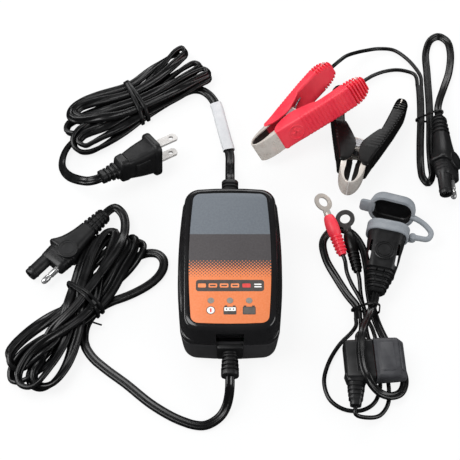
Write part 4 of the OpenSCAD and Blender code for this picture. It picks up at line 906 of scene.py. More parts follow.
def bushing(name, y, turned_to, start, swap, plate=()):
    """Ribbed sleeve where a cord leaves the case, with the neck and plate that hold it."""
    w, t = 10.4, 9
    body = loft([[start, w * 0.86, t * 0.92, t * 0.4], [start + 2.6, w * 0.84, t * 0.9, t * 0.4]]
                + ribs(start + 2.8, 13, 4, w * 0.9, w, t * 0.92, t, 1.0)
                + [[13.4, w, t, t * 0.42], [15.3, w, t, t * 0.42],
                   [15.8, w - 0.5, t - 0.5, t * 0.4], [16, w - 1.2, t - 1.2, t * 0.36]], 8)
    neck = block(-5.2, 0.05, -3.85, 3.85, -4.85, 4.85)
    v, f = joined(body, neck, block(-5.3, -3.55, -6, 6, -6, 6), *plate)
    return piece(name, at(((0, y, 14), (0, 0, turned_to)), v), f, black_vinyl, "charger", (swap,),
                 "black_vinyl")


bushing("ac_cord_bushing", 50, 90, -0.1, "ac_bushing")
front_plate = loft([[-1.2, 15, 15, 0.9], [1.1, 15, 15, 0.9], [1.45, 14.8, 14.8, 0.9],
                    [1.6, 14.3, 14.3, 0.9]], 5)
bushing("dc_cord_bushing", -50, -90, 0, "dc_bushing", (front_plate,))


def shell(line, outer, inner):
    """Tube with an inside, open at both ends."""
    a, fa = sweep(line, outer, caps=False)
    b, fb = sweep(line, inner, caps=False)
    n, count = len(outer), len(a)
    faces = fa + [tuple(i + count for i in reversed(f)) for f in fb]
    last = len(a) - n
    for i in range(n):
        j = (i + 1) % n
        faces.append((j, i, count + i, count + j))
        faces.append((last + i, last + j, count + last + j, count + last + i))
    return np.concatenate([a, b]), faces


TAG_FROM, TAG_TO = 96.5, 135        # mm in y, along the mains cord's first run
near_case = ac_line[:int(np.argmax(ac_line[:, 1] > TAG_TO))]
tag_line = near_case[near_case[:, 1] > TAG_FROM]
v, f = shell(tag_line, rounded(7.7, 4.7, 2.1, 8), rounded(7.2, 4.2, 1.9, 8))
tag = piece("blank_cord_tag", v, f, sleeve_film, "charger", ("ac_cord_sleeve",), "sleeve_film",
            crease=60)


def turns_left(a, b, c):
    """Whether the way from a over b to c turns left."""
    return (b[0] - a[0]) * (c[1] - a[1]) > (b[1] - a[1]) * (c[0] - a[0])


def hull(points):
    """Convex outline of flat points."""
    points = sorted(set((round(float(a), 3), round(float(b), 3)) for a, b in points))
    out = []
    for side in (points, points[::-1]):
        half = []
        for p in side:
            while len(half) > 1 and not turns_left(half[-2], half[-1], p):
                half.pop()
            half.append(p)
        out += half[:-1]
    return np.array(out)


# Bands: half the length of cord and the reach across it that they are drawn round, the points
# of a band, its slack over the cords and its least height over the table, in mm
GRASP, ACROSS, BAND_POINTS, SLACK, BAND_LOW = 2.5, 20, 96, 0.35, 0.02


def wrap(cord_pieces, middle, heading, shift, tilt, width, thick):
    """A band drawn tight round the cords that cross a plane."""
    e, n = compass(heading)
    near = []
    for made in cord_pieces:
        co = np.array([v.co for v in made.data.vertices]) / MM
        rel = co[:, :2] - middle
        along, across = rel @ e, rel @ n
        pick = ((np.abs(along - shift - tilt * across) < GRASP)
                & (np.abs(across) < ACROSS))
        near.append(np.stack([across[pick], co[pick, 2]], axis=1))
    outline = hull(np.concatenate(near))
    closed = np.concatenate([outline, outline[:1]])
    steps = np.concatenate([[0], np.cumsum(np.linalg.norm(np.diff(closed, axis=0), axis=1))])
    s = np.linspace(0, steps[-1], BAND_POINTS + 1)[:-1]
    ring = np.stack([np.interp(s, steps, closed[:, k]) for k in (0, 1)], axis=1)
    for _ in range(6):
        ring = (np.roll(ring, 1, axis=0) + 2 * ring + np.roll(ring, -1, axis=0)) / 4
    way = np.roll(ring, -1, axis=0) - np.roll(ring, 1, axis=0)
    way /= np.linalg.norm(way, axis=1)[:, None]
    out = np.stack([way[:, 1], -way[:, 0]], axis=1)
    ring = ring + out * (thick / 2 + SLACK)
    ring[:, 1] = np.maximum(ring[:, 1], thick / 2 + BAND_LOW)
    rings = []
    for (u, z), (ou, oz) in zip(ring, out):
        base = np.array([*(np.array(middle) + e * (shift + tilt * u) + n * u), z])
        along3, out3 = np.array([*e, 0]), np.array([*(n * ou), oz])
        rings.append([base + along3 * a + out3 * b
                      for a, b in rounded(width, thick, thick * 0.48, 4)])
    v, f = skin(rings, closed=True)
    v[:, 2] = np.maximum(v[:, 2], BAND_LOW)
    return v, f


def wire_end(points):
    """Loose end of a tie wire."""
    return sweep(smooth(points, 0.6), disc(0.55, 10))


def tie(name, bands, body, swap):
    """A cord tie of one or more bands and wire ends."""
    return piece(name, *joined(*bands), tie_wire, body, (swap,), "tie_wire")


ac_tie = tie("ac_hank_tie", [wrap([ac_cord], ac_tie_at, ac_heading, shift, tilt, 2.3, 1.1)
                             for shift, tilt in ((-1.5, 0.07), (1.6, -0.03))], "charger",
             "ac_cord_tie")
DC_TIE_ENDS = (
    [(-83.5, -24.0, 5.2), (-82.4, -26.6, 5.6), (-79.6, -27.8, 5.4), (-76.4, -28.6, 4.8)],
    [(-84.5, -24.6, 4.4), (-85.6, -29.6, 3.4), (-85.4, -35.6, 2.4), (-83.6, -40.2, 1.6)])
dc_tie = tie("dc_hank_tie", [wrap([dc_cord], dc_tie_at, dc_heading, shift, tilt, 1.8, 1.0)
                             for shift, tilt in ((-1.3, 0.05), (1.2, -0.06))]
             + [wire_end(points) for points in DC_TIE_ENDS], "charger", "dc_cord_tie")
clamp_tie = tie("clamp_cord_tie_wrap", [wrap([clamp_cord], (131, 121.6), 90, 0, 0.05, 1.5, 0.9)],
                "clamp_lead", "clamp_cord_tie")
ring_tie = tie("ring_cord_tie_wrap", [wrap([ring_cord, ring_black, ring_red], (80.9, -17.5), 88, 0,
                                           0.04, 1.6, 0.9)], "ring_lead", "ring_cord_tie")

# two-pin mains plug: ribbed tail, shoulder, tapered grip with a bare raised panel, thick flange
plug_body = loft([[0, 8.6, 6.6, 2.4], [2.5, 8.8, 6.8, 2.4]]
                 + ribs(2.8, 12, 3, 9.2, 11.5, 7.2, 9, 1.0)
                 + [[12.4, 9.6, 11.6, 3], [12.9, 10.4, 15, 3], [13.6, 11, 16.4, 3],
                    [17.4, 11.5, 17, 3], [18, 11.7, 16, 3], [18.6, 12, 15.2, 3],
                    [22, 13.2, 16.4, 3.2], [26, 14.5, 18, 3.4], [30, 15.1, 19.6, 3.6],
                    [34.8, 15.6, 21.2, 3.6], [35.6, 15.8, 21.8, 3.6], [36.1, 17.6, 24.6, 4.4],
                    [36.5, 18.6, 25.6, 4.8], [37, 19, 26, 5], [39.2, 19, 26, 5],
                    [39.7, 18.7, 25.7, 4.9], [40, 18, 25, 4.5]], 8)
panel = skin([[(27.2 + a, -y, b) for a, b in rounded(10.5 - d, 9 - d, 1.2, 5)]
              for y, d in ((6.4, 0), (7.75, 0), (7.95, 0.5))])
v, f = joined(plug_body, panel)
plug = piece("mains_plug", at(plug_pose, v), f, black_vinyl, "charger", ("ac_plug",), "black_vinyl")

# ---- two-pole connectors ----

POLE = 4.75             # mm from the middle line to a contact
BADGE = (34.8, 2.6)     # middle of the bare round badge on a two-pole connector


def connector(name, pose, body, swap):
    """Tail ribs, a flared neck with a lip, a grooved block, a sleeve and a bare pin."""
    neck = [[14.6, 11.4, 9.2, 3.6], [18, 12, 9.5, 3.8], [22, 13.0, 10, 4],
            [26, 14.4, 10.6, 4.2, -0.1], [30, 16.4, 11.2, 4.4, -0.3], [33, 18.6, 12.0, 4.5, -0.6],
            [34.8, 20.4, 12.7, 4.7, -0.9], [35.8, 21.4, 13, 4.8, -0.9], [36.6, 21.6, 13, 4.8, -0.8],
            [37.1, 21.2, 12.6, 4.7, -0.7], [37.35, 20.2, 11.8, 4.5, -0.5], [37.5, 18.5, 10.5, 4]]
    grooved = [[38.4, 18.4, 10.4, 4], [38.6, 18.0, 10.0, 3.9], [39.0, 18.0, 10.0, 3.9],
               [39.2, 18.4, 10.4, 4], [40.8, 18.3, 10.3, 4], [41.0, 17.9, 9.9, 3.9],
               [41.4, 17.9, 9.9, 3.9], [41.6, 18.2, 10.2, 4], [43.2, 18.0, 10.1, 4],
               [43.4, 17.6, 9.7, 3.9], [43.8, 17.6, 9.7, 3.9], [44.0, 17.9, 10, 4],
               [46.5, 17.6, 9.6, 4], [47, 17.0, 9.0, 3.8]]
    tail = [[0, 7.8, 6.4, 2.4], [0.5, 8.6, 7, 2.6], [1.6, 9.6, 8, 3]]
    v, f = loft(tail + ribs(1.8, 14, 4, 10, 11.6, 8.4, 9.4, 0.9) + neck + grooved, 8)
    made = piece(name, at(pose, v), f, black_vinyl, body, (swap,), "black_vinyl", crease=40)
    sleeve = turned([(46, 4.1), (57, 4.0), (57.3, 4.25), (58.2, 4.25), (58.5, 4.0), (60.6, 4.0),
                     (61, 3.7)], -POLE, 36)
    badge = raised(*BADGE, [(4.2, 6.3), (6.5, 6.2), (6.75, 5.9)])
    carve(made, [posed(pose, sleeve), posed(pose, badge)], "UNION", crease=38)
    cuts = [turned([(43, 2.8), (62, 2.8)], -POLE), turned([(41, 1.45), (62, 1.45)], POLE)]
    for r in (5.1, 3.9):
        cuts.append(raised(*BADGE, [(6.5, r + 0.4), (7.3, r + 0.4), (7.3, r), (6.5, r)],
                           closed=True))
    cuts += [block(2.6, 13.6, s * 1.6 - 0.45, s * 1.6 + 0.45, z0, z1)
             for s in (-1, 1) for z0, z1 in ((3.4, 8), (-8, -3.4))]
    carve(made, [posed(pose, c) for c in cuts], crease=38)
    bulb = turned([(47.02, 1.95), (52.6, 1.95), (53.1, 1.6), (54.2, 1.6), (54.8, 1.95),
                   (57.4, 1.95), (58.6, 1.75), (59.5, 1.2), (59.9, 0.5)], POLE, 28)
    liner = turned([(43.2, 2.75), (58.4, 2.75), (58.4, 2.0), (44.2, 2.0)], -POLE, 28)
    v, f = joined(bulb, turned([(41.5, 1.4), (47.1, 1.4)], POLE, 20), liner)
    metal = piece(name + "_contacts", at(pose, v), f, contact_metal, body,
                  (swap.replace("connector", "contacts"),), "contact_metal")
    return made, metal


dc_plug, dc_metal = connector("charger_connector", dc_pose, "charger", "dc_connector")
clamp_plug, clamp_metal = connector("clamp_lead_connector", clamp_pose, "clamp_lead",
                                    "clamp_connector")

# ---- clamps ----


def lever_mid(x):
    """How far a plate's outer face lies from the middle of the clamp."""
    if x > 16:
        return 8 * math.sqrt(max(0.0, 1 - ((x - 16) / 17) ** 2))
    return float(np.interp(x, (-46, -29.9, -17.48, -4, 4, 10, 16),
                           (21.35, 19.2, 16.2, 12.8, 10.6, 9.2, 8)))


def share_of(x, start, stop):
    """0 at the start, 1 at the stop, and straight in between."""
    return max(0.0, min(1.0, (x - start) / (stop - start)))


def mirrored(shape, side):
    """A half as it is made, or turned over for the other side."""
    v, f = shape
    if side < 0:
        v = v * [1, -1, 1]
        f = [tuple(reversed(q)) for q in f]
    return v, f


def plate(outline, hole, z, thick):
    """Flat ear with a round hole; both outlines have the same number of points."""
    n = len(outline)
    v = [(x, y, z + h) for ring in (outline, hole) for h in (-thick / 2, thick / 2)
         for x, y in ring]
    f = []
    for i in range(n):
        j = (i + 1) % n
        f += [(i, j, n + j, n + i), (2 * n + j, 2 * n + i, 3 * n + i, 3 * n + j)]
        f += [(j, i, 2 * n + i, 2 * n + j), (n + i, n + j, 3 * n + j, 3 * n + i)]
    return np.array(v), f


SHEET = 0.901       # how deep a plate is where its edges are not folded in


def jaw(level):
    """Pressed plate: curved to the tip, edges folded in, and two ears on the pin."""
    xs = list(np.linspace(-43, 16, 26)) + [16 + 17 * math.sin(math.pi / 2 * k / 16)
                                           for k in range(1, 17)]
    mid = np.array([(x, lever_mid(x)) for x in xs])
    mid[1:-1] = (mid[:-2] + 2 * mid[1:-1] + mid[2:]) / 4
    way = np.gradient(mid, axis=0)
    way /= np.linalg.norm(way, axis=1)[:, None]
    inward = np.stack([way[:, 1], -way[:, 0]], axis=1)
    rings = []
    for (x, y), (nx, ny) in zip(mid, inward):
        begun = share_of(x, -6, -2)
        fold = SHEET + 2.6 * (begun * share_of(x, 31.5, 20.5))
        deep = SHEET + (min(5.3 + 0.8 * max(0.0, x - 4), lever_mid(x) - 1.7)
                        * begun * share_of(x, 32, 30))
        y = max(y, 0.12)
        prof = [(0.3, -6.9), (deep, -6.9), (deep, -6.1), (1.15, -5.9), (1.15, 5.9), (fold, 6.1),
                (fold, 6.9), (0.3, 6.9), (0.06, 6.78), (0, 6.4), (0, -6.4), (0.06, -6.78)]
        rings.append([(x + nx * d, max(0.08, y + ny * d), z) for d, z in prof])
    shape = [skin(rings[::-1])]
    for s in (-1, 1):
        outline = [(4.4 * math.cos(a), 4.4 * math.sin(a)) for a in np.linspace(-math.pi, 0, 17)]
        outline += [(6.4, lever_mid(6) - 1), (-4.4, lever_mid(-4) - 1)]
        angles = np.linspace(-math.pi, math.pi, len(outline), endpoint=False)
        hole = [(2.08 * math.cos(a), 2.08 * math.sin(a)) for a in angles]
        shape.append(plate(outline, hole, s * (6.9 - 1.6 - level * 1.5), 1.2))
    return joined(*shape)


GRIP_AT = (-46, -43.5, -40, -35, -29.9, -19.8, -10.1, 0, 8, 16.6, 17.4)
GRIP_OUT = (22.6, 24.2, 25.1, 24.8, 23.6, 21, 18, 14.8, 11.9, 9.4, 8.9)
GRIP_IN = (18.3, 17.3, 16.6, 15.8, 15, 13, 10.8, 8.6, 7.2, 6.1, 6.6)
CHEEK_AT = (-46, -16, -14, -8, -2, 2, 8, 13, 16.8, 17.4)
CHEEK_IN = (99, 99, 10.6, 6.4, 2.6, 1.4, 1.4, 2.6, 5.6, 6.6)


def grip_ring(x, cut, notch):
    """Section of a grip: rounded outer corners, and cheeks that reach in over the plates' ears."""
    o, i, b = (float(np.interp(x, xs, ys)) for xs, ys in (
        (GRIP_AT, GRIP_OUT), (GRIP_AT, GRIP_IN), (CHEEK_AT, CHEEK_IN)))
    end = max(0.0, (x - 15.6) / 1.8)
    h = 7.9 * math.sqrt(1 - (0.8 * max(0.0, (-34 - x) / 12)) ** 2) - 1.1 * end ** 2
    o -= 0.5 * end ** 2 + cut
    h -= notch
    b = min(b, i)
    r = min(2.1, (o - b) * 0.3)
    c = 0.35 + 1.0 * min(1.0, max(0.0, (-12 - x) / 6))
    wall = min(6.95, h - c)
    side = [(o - r + r * math.sin(a), h - r + r * math.cos(a))
            for a in np.linspace(math.pi / 2, 0, 7)]
    side += [(b + c - c * math.sin(a), h - c + c * math.cos(a))
             for a in np.linspace(0, math.pi / 2, 4)]
    side += [(b, wall), (i, wall - 0.02)]
    return [(x, y, z) for y, z in side] + [(x, y, -z) for y, z in side[::-1]]


def grip():
    """Dipped grip: ribs across the outer face, a plain end by the jaw, tapered fins at the rear."""
    plain = (17.4, 17.2, 16.9, 16.4, 15.6, 14, 12.4, 11, 9.6, 8, 6.4, 4.8, 3.4, 2)
    rings = [(x, 0, 0) for x in plain]
    for k in range(14):
        x = 0.8 - 2.4 * k
        rings += [(x, 0, 0), (x - 0.3, 0.42, 0), (x - 0.9, 0.42, 0), (x - 1.25, 0, 0)]
    for k in range(6):
        x = -33.3 - 2.13 * k
        rings += [(x, 0, 0), (x - 0.25, 1.9, 1.6), (x - 0.95, 1.9, 1.6), (x - 1.2, 0, 0)]
    rings += [(-45.8, 0.2, 0.2), (-46, 0.6, 0.7)]
    return skin([grip_ring(*r) for r in rings[::-1]])


def sign_on(x0, kind):
    """Raised ring with a plus or a minus in it, on the outer face of a grip near the jaw."""
    slope = math.atan2(14.8 - 10.75, -12)
    u = np.array([math.cos(slope), math.sin(slope)])
    n = np.array([u[1], -u[0]])
    base = np.array([x0, float(np.interp(x0, GRIP_AT, GRIP_OUT))])

    def lay(a, b, h):
        p = base + u * a + n * h
        return (p[0], p[1], b)

    angles = np.linspace(0, 2 * math.pi, 40, endpoint=False)
    ring = skin([[lay(r * math.cos(a), r * math.sin(a), h) for a in angles]
                 for r, h in ((5.2, -0.3), (5.2, 0.3), (5.05, 0.42), (4.5, 0.42), (4.35, 0.3),
                              (4.35, -0.3))], closed=True)
    bars = [skin([[lay(a, b, h) for a, b in rounded(w - d, t - d, 0.3, 3)]
                  for h, d in ((-0.3, 0), (0.3, 0), (0.42, 0.2))])
            for w, t in (((5.8, 1.4), (1.4, 5.8)) if kind == "plus" else ((5.8, 1.4),))]
    return joined(ring, *bars)


def spring():
    """Torsion spring: close coils on the pin and two short legs under the plates."""
    turns, n, r = 5, 24, 3.1
    angles = [2 * math.pi * k / n for k in range(turns * n + 1)]
    coil = [(r * math.cos(a + 2.2), r * math.sin(a + 2.2), -2.9 + 5.8 * a / (2 * math.pi * turns))
            for a in angles]
    legs = [(-15, 12.6), (-10, 9.6), (-6, 6.6)]
    return np.array([(x, y, -2.9) for x, y in legs] + coil + [(x, -y, 2.9) for x, y in legs[::-1]])


# points of a plate's section, faces along it, and the faces of a section that turn to the mouth
JAW_POINTS, JAW_FACES, INNER_FACES = 12, 41, (2, 3, 4)

for colour, pose, finish, sign in (("red", red_pose, red_grip_vinyl, "plus"),
                                   ("black", black_pose, black_grip_vinyl, "minus")):
    for side, level, kind, body in ((-1, 0, "fixed", "clamp_lead"),
                                    (1, 1, "moving", "%s_clamp_half" % colour)):
        node = "%s_%s_" % (colour, kind)
        v, f = mirrored(jaw(level), side)
        # the faces turned to the mouth take the darker plate as painted shade
        inner = [int(k < JAW_POINTS * JAW_FACES and k % JAW_POINTS in INNER_FACES)
                 for k in range(len(f))]
        piece(node + "jaw_plate", at(pose, v), f, jaw_plate, body, (node + "jaw",), "jaw_plate",
              crease=30, finishes=(jaw_inside_painted_shade,), face_finish=inner)
        v, f = mirrored(joined(grip(), sign_on(6.8, sign)), side)
        piece(node + "grip_cover", at(pose, v), f, finish, body, (node + "grip",),
              "%s_grip_vinyl" % colour, crease=42)
    v, f = sweep(spring(), disc(0.55, 10))
    piece("%s_torsion_spring" % colour, at(pose, v), f, spring_steel, "clamp_lead",
          ("%s_spring" % colour,), "spring_steel", crease=80)

# ---- ring terminal lead ----

OVAL = 10       # points on a corner of the oval shapes


def ovals(sections, closed=False):
    """Skin of rounded oblongs along +X; a section is x, width, thickness and corner radius."""
    return skin([[(x, y, z) for y, z in rounded(w, t, r, OVAL)] for x, w, t, r in sections],
                closed=closed)


def slab(x0, y0, w, h, r, heights, n):
    """Raised panel along +Z; the heights are z and how far the outline is drawn in."""
    return skin([[(x0 + a, y0 + b, z) for a, b in rounded(w - d, h - d, r, n)]
                 for z, d in heights])


# mouth end of the connector: one skin that turns over the lip and runs down the well
outside = [[0, 8.2, 7.2, 2.8], [0.6, 9.4, 8.2, 3.1], [1.5, 11, 9.4, 3.4]]
outside += ribs(1.8, 15, 4, 12, 18, 10, 13, 1.2)
outside += [[15.6, 18.2, 12.6, 4.6], [18, 19, 13.2, 4.8], [22, 20.2, 14, 5], [26, 21, 14.8, 5.2],
            [30, 21.4, 15.4, 5.4], [36, 22.8, 16.2, 6], [40, 22.9, 16.4, 6.1],
            [46.5, 23.4, 17, 6.4], [46.9, 23.2, 16.8, 6.4], [47, 22.8, 16.4, 6.3]]
inside = [[47, 20, 13.6, 4.9], [46.8, 19.6, 13.2, 4.7], [46.4, 19.4, 13, 4.6], [32, 19.4, 13, 4.6]]
v, f = ovals(outside + inside)
weather = piece("weather_connector_body", at(weather_pose, v), f, black_vinyl, "ring_lead",
                ("weather_connector",), "black_vinyl", crease=40)
PLATEAU = (26.6, 0)
plateau = raised(*PLATEAU, [(5.5, 6.4), (7.5, 6.4), (7.75, 6.1)])
carve(weather, [posed(weather_pose, plateau)], "UNION", crease=40)
cuts = [slab(25.5, s * 8.4, 14, 1.5, 0.7, ((-12, 0), (12, 0)), 4) for s in (-1, 1)]
cuts += [block(2.6, 14.6, s * 2.2 - 0.45, s * 2.2 + 0.45, z0, z1) for s in (-1, 1)
         for z0, z1 in ((4.4, 9), (-9, -4.4))]
cuts += [raised(*PLATEAU, [(7.4, r + 0.45), (8.4, r + 0.45), (8.4, r), (7.4, r)], closed=True)
         for r in (5.1, 3.9)]
carve(weather, [posed(weather_pose, c) for c in cuts], crease=40)

pin = turned([(32.05, 1.95), (42.4, 1.95), (43.4, 1.6), (44, 0.88)], -POLE, 24)
socket = turned([(32.05, 3.8), (44.6, 3.8), (45, 3.4), (45, 2.2), (44.7, 2.0), (33.6, 2.0)], POLE,
                28)
v, f = joined(pin, socket)
weather_metal = piece("weather_contact_set", at(weather_pose, v), f, contact_metal, "ring_lead",
                      ("weather_contacts",), "contact_metal")

LUG = (43.5, -15.4)

# grey collar round the mouth, with two raised bands and the lug of the strap
ring_out = [[40, 25.3, 18.1, 7.4], [40.25, 26, 18.8, 7.7], [40.8, 26.4, 19.4, 8],
            [42.2, 26.4, 19.4, 8], [42.5, 25.9, 18.9, 7.8], [44.4, 25.9, 18.9, 7.8],
            [44.7, 26.4, 19.4, 8], [46.3, 26.4, 19.4, 8], [46.8, 26, 18.9, 7.8],
            [47, 25.3, 18.1, 7.4]]
ring_in = [[47, 23.9, 17.5, 6.6], [46.6, 23.55, 17.15, 6.5], [40.4, 23.1, 16.6, 6.2],
           [40, 23.5, 17, 6.4]]
lug = raised(*LUG, [(-3.3, 2.1), (-3.1, 2.3), (-2.0, 2.3), (-1.8, 2.1)], 28)
v, f = joined(ovals(ring_out + ring_in, closed=True), lug,
              block(41.2, 45.8, -15.4, -12.4, -3.3, -1.8))
piece("weather_collar", at(weather_pose, v), f, grey_rubber, "ring_lead", ("cap_collar",),
      "grey_rubber", crease=42)

# the cap: a deep well with a rolled lip, a stepped crown and a pull tab
cap_pose = ((100.2, 45.6, 11.4), (0, 20, 74))
cap_out = [[7.2, 0.5, 0.3, 0.1], [7.3, 16, 8, 4], [7.95, 18, 10, 5], [8, 23.8, 15, 7],
           [7.7, 25.4, 16.6, 7.6], [6.9, 27.4, 18.6, 8], [5.6, 28, 19.2, 8.1],
           [4.2, 28.2, 19.4, 8.2], [3.9, 28.2, 19.4, 8.2], [3.6, 28.8, 20, 8.4],
           [0.3, 28.8, 20, 8.4], [0, 28.2, 19.4, 8.2]]
cap_in = [[0, 25, 16.2, 6.6], [0.3, 24.5, 15.7, 6.3], [0.8, 24.4, 15.6, 6.2],
          [5.2, 24.2, 15.4, 6.2], [5.8, 23, 14.2, 5.8]]
tab = skin([[(x, a + 15.55, b) for a, b in rounded(9.5 - d, 8 - d, 2.4, 6)]
            for x, d in ((0.1, 0.5), (0.35, 0), (2.1, 0), (2.4, 0.5))])
v, f = joined(ovals(cap_out + cap_in), tab)
corners = 4 * (OVAL + 1)
# painted shade: the faces inside the well take the black PVC for the shade deep in the grey cap
inner = [int(min(q) >= (len(cap_out) + 1) * corners and max(q) < len(cap_out + cap_in) * corners)
         for q in f]
piece("weather_cap_shell", at(cap_pose, v), f, grey_rubber, "connector_cap", ("weather_cap",),
      "grey_rubber", crease=42, finishes=(black_vinyl,), face_finish=inner)
TETHER = [(112.2, 43, 10.6), (117, 40.6, 10), (121.6, 36.6, 9.4), (124, 31.6, 9.4),
          (121.6, 27.6, 9.6), at(weather_pose, [(43.5, -18.8, 0), (*LUG, 0)])]
strap_line = smooth(chain(TETHER), 0.8)
swell = 1 + 0.1 * np.clip(np.abs(np.linspace(-1, 1, len(strap_line))) * 3 - 2, 0, 1)
eye = raised(*LUG, [(-1.65, 1.9), (-1.45, 2.15), (1.45, 2.15), (1.65, 1.9)], 28)
strap_v, strap_f = joined(sweep(strap_line, rounded(3.3, 3.0, 1.2, 5), scale=swell),
                          posed(weather_pose, eye))
piece("cap_strap", strap_v, strap_f, grey_rubber, "connector_cap", ("cap_tether",), "grey_rubber",
      crease=50)

# fuse holder: ribbed body with a gland, a seam, and a cap with a bare end panel
holder_parts = [loft([[-17, 21.5, 8.2, 1.6], [-16.7, 22.6, 9.6, 2.2], [-16.2, 24, 11, 2.4],
                      [-15.6, 24.6, 11.5, 2.4], [-4.6, 24.8, 11.5, 2.4], [-4.4, 25, 11.5, 2.4],
                      [-0.5, 25, 11.5, 2.4], [-0.2, 24.7, 11.2, 2.3]], 7)]
v, f = loft([[0, 14, 10, 2.4], [4, 11, 9.4, 2.4], [4.4, 9.4, 8.4, 2.6], [5, 9.2, 8.2, 2.8],
             [5.2, 10, 9, 3], [6.6, 10, 9, 3], [6.9, 8.8, 7.9, 2.8], [7.6, 8.8, 7.9, 2.8],
             [7.9, 9.8, 8.8, 3], [9.2, 9.6, 8.7, 3], [9.5, 8.2, 7.4, 2.6], [10.2, 8.2, 7.4, 2.6],
             [10.5, 9, 8.2, 2.8], [11.8, 8.8, 8, 2.8], [12.1, 7.6, 6.8, 2.4], [12.8, 7.6, 6.8, 2.4],
             [13.1, 8.3, 7.6, 2.6], [14.4, 8.2, 7.4, 2.6], [15, 7, 6.6, 2.4], [18, 6.4, 6.2, 2.3]],
            7)
holder_parts.append((v @ turn((0, 0, GLAND_TURN)).T + gland, f))
holder_parts.append(skin([[(-9.5 + a, y, b) for a, b in rounded(0.9, 7.4, 0.4, 3)]
                          for y in (12.9, 12.3)]))
holder_parts += [slab(x, 0, 1.1, 17, 0.5, ((5.4, 0), (5.9, 0), (5.95, 0.2)), 4)
                 for x in (-10.2, -7.8, -5.4)]
v, f = joined(*holder_parts)
piece("fuse_holder_body", at(holder_pose, v), f, holder_plastic, "ring_lead", ("fuse_holder",),
      "holder_plastic", crease=38)
lid = loft([[0.35, 25.2, 11.9, 2.5], [0.6, 25.6, 12.3, 2.6], [1.4, 25.6, 12.3, 2.6],
            [1.7, 25.2, 11.9, 2.5], [2.4, 25.2, 11.9, 2.5], [2.7, 25.5, 12.2, 2.6],
            [13.2, 25, 11.9, 2.6], [14.4, 24.8, 11.6, 2.6], [17.9, 23.4, 6.6, 1.8, 0, -2.4],
            [18.4, 22.8, 5.4, 1.4, 0, -2.6], [18.5, 22, 4.6, 1.2, 0, -2.6]], 7)
v, f = slab(0, 0, 3.4, 17, 0.9, ((-0.3, 0), (0.35, 0), (0.5, 0.4)), 6)
v = v @ turn((0, 61, 0)).T + np.array([16.3, 0, 3.3])
panel_low = (v, f)
v, f = joined(lid, panel_low, slab(7.6, 0, 8.6, 18, 1.6, ((5.6, 0), (6.2, 0), (6.35, 0.4)), 6))
piece("fuse_holder_lid", at(holder_pose, v), f, holder_lid_plastic, "fuse_holder_cap",
      ("fuse_cap",), "holder_plastic", crease=38)

# soft boots over the ring terminals' barrels
for colour, pose, finish in (("red", red_boot_pose, red_grip_vinyl),
                             ("black", black_boot_pose, black_grip_vinyl)):
    d = 8.2
    mouth = ((0, 0.6), (0.4, 0.7), (2, 0.84), (4.5, 0.95), (7.5, 1), (10, 0.98), (13, 0.93))
    front, rear = ([[x, d * k, d * k, d * k * 0.48] for x, k in part]
                   for part in (mouth, ((26.2, 0.62), (27, 0.6))))
    v, f = loft(front + ribs(14, 25.6, 5, d * 0.9, d * 0.8, d * 0.9, d * 0.8, 0.75) + rear, 7)
    v = v * [-1, 1, 1]
    piece("%s_terminal_boot" % colour, at(pose, v), [tuple(reversed(q)) for q in f], finish,
          "ring_lead", ("%s_boot" % colour,), "%s_grip_vinyl" % colour, crease=42)

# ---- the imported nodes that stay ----

for node, finish in (("status_lights", light_lens), ("circuit_board", board_laminate),
                     ("transformer_core", core_steel), ("transformer_winding", winding_wire),
                     ("capacitors", capacitor_sleeve), ("case_screws", screw_steel),
                     ("blade_fuse", fuse_plastic), ("dc_contacts", contact_metal),
                     ("clamp_contacts", contact_metal), ("weather_contacts", contact_metal),
                     ("plug_blades", blade_metal), ("red_pivot", pivot_steel),
                     ("black_pivot", pivot_steel), ("red_terminal", terminal_tin),
                     ("black_terminal", terminal_tin_in_shade)):
    for slot in nodes[node].material_slots:
        slot.material = finish

# ---- floor and light ----


def seen_as(tree, ray, surface, level, share):
    """Let one kind of ray see a plain grey level instead of the surface."""
    path = add(tree, "LightPath")
    part = add(tree, "Math", {"operation": "MULTIPLY", 1: share}, {0: path.outputs[ray]})
    plain = add(tree, "Emission", {"Color": (level, level, level, 1), "Strength": 1.0})
    mixed = add(tree, "MixShader", None, {0: part.outputs[0], 1: surface, 2: plain.outputs[0]})
    return mixed.outputs[0]


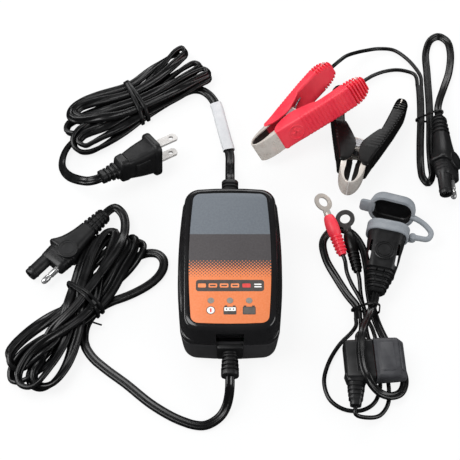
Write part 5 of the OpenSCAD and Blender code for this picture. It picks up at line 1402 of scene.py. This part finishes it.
FLOOR_Z = -0.0003       # m, a hair under the model so that nothing is hidden in it
floor_mesh = bpy.data.meshes.new("floor")
floor_mesh.from_pydata([(x, y, FLOOR_Z) for x, y in ((-4, -4), (4, -4), (4, 4), (-4, 4))], [],
                       [(0, 1, 2, 3)])
floor = placed("floor", floor_mesh)
paper = bpy.data.materials.new("white_paper_sweep")
paper.use_nodes = True
sheet = paper.node_tree.nodes["Principled BSDF"]
sheet.inputs["Base Color"].default_value = linear("#f4f4f4")
sheet.inputs["Roughness"].default_value = 0.9
tree = paper.node_tree
seen = seen_as(tree, "Is Camera Ray", sheet.outputs[0], 1.0, 0.86)
tree.links.new(seen_as(tree, "Is Glossy Ray", seen, 0.03, 1.0),
               tree.nodes["Material Output"].inputs["Surface"])
floor_mesh.materials.append(paper)

world = bpy.data.worlds.new("studio")
scene.world = world
world.use_nodes = True
room = world.node_tree
room.nodes["Background"].inputs["Color"].default_value = linear("#eef1f5")
room.nodes["Background"].inputs["Strength"].default_value = 0.6
seen = seen_as(room, "Is Camera Ray", room.nodes["Background"].outputs[0], 1.0, 1.0)
room.links.new(seen_as(room, "Is Glossy Ray", seen, 0.055, 1.0),
               room.nodes["World Output"].inputs["Surface"])

# name, place and aim in metres, size along and across, power in watts
LAMPS = (("key", (-0.36, 0.02, 0.72), (0, 0.03, 0), 0.42, 0.42, 3.0),
         ("back", (0.10, 0.70, 0.42), (0, 0.05, 0), 0.8, 0.18, 2.0),
         ("side", (0.60, -0.12, 0.34), (0.02, 0.02, 0.01), 0.5, 0.2, 1.2),
         ("left", (-0.62, 0.02, 0.26), (0.0, 0.02, 0.01), 0.6, 0.14, 1.6))
for name, place, aim, wide, deep, power in LAMPS:
    lamp = bpy.data.lights.new(name, "AREA")
    lamp.shape, lamp.size, lamp.size_y, lamp.energy = "RECTANGLE", wide, deep, power
    lamp_at = placed(name, lamp)
    lamp_at.location = place
    from_to = np.array(aim, float) - np.array(place, float)
    level = math.hypot(from_to[0], from_to[1])
    lamp_at.rotation_euler = (math.atan2(level, -from_to[2]), 0,
                              math.atan2(-from_to[0], from_to[1]))
scene.view_settings.view_transform = "Standard"
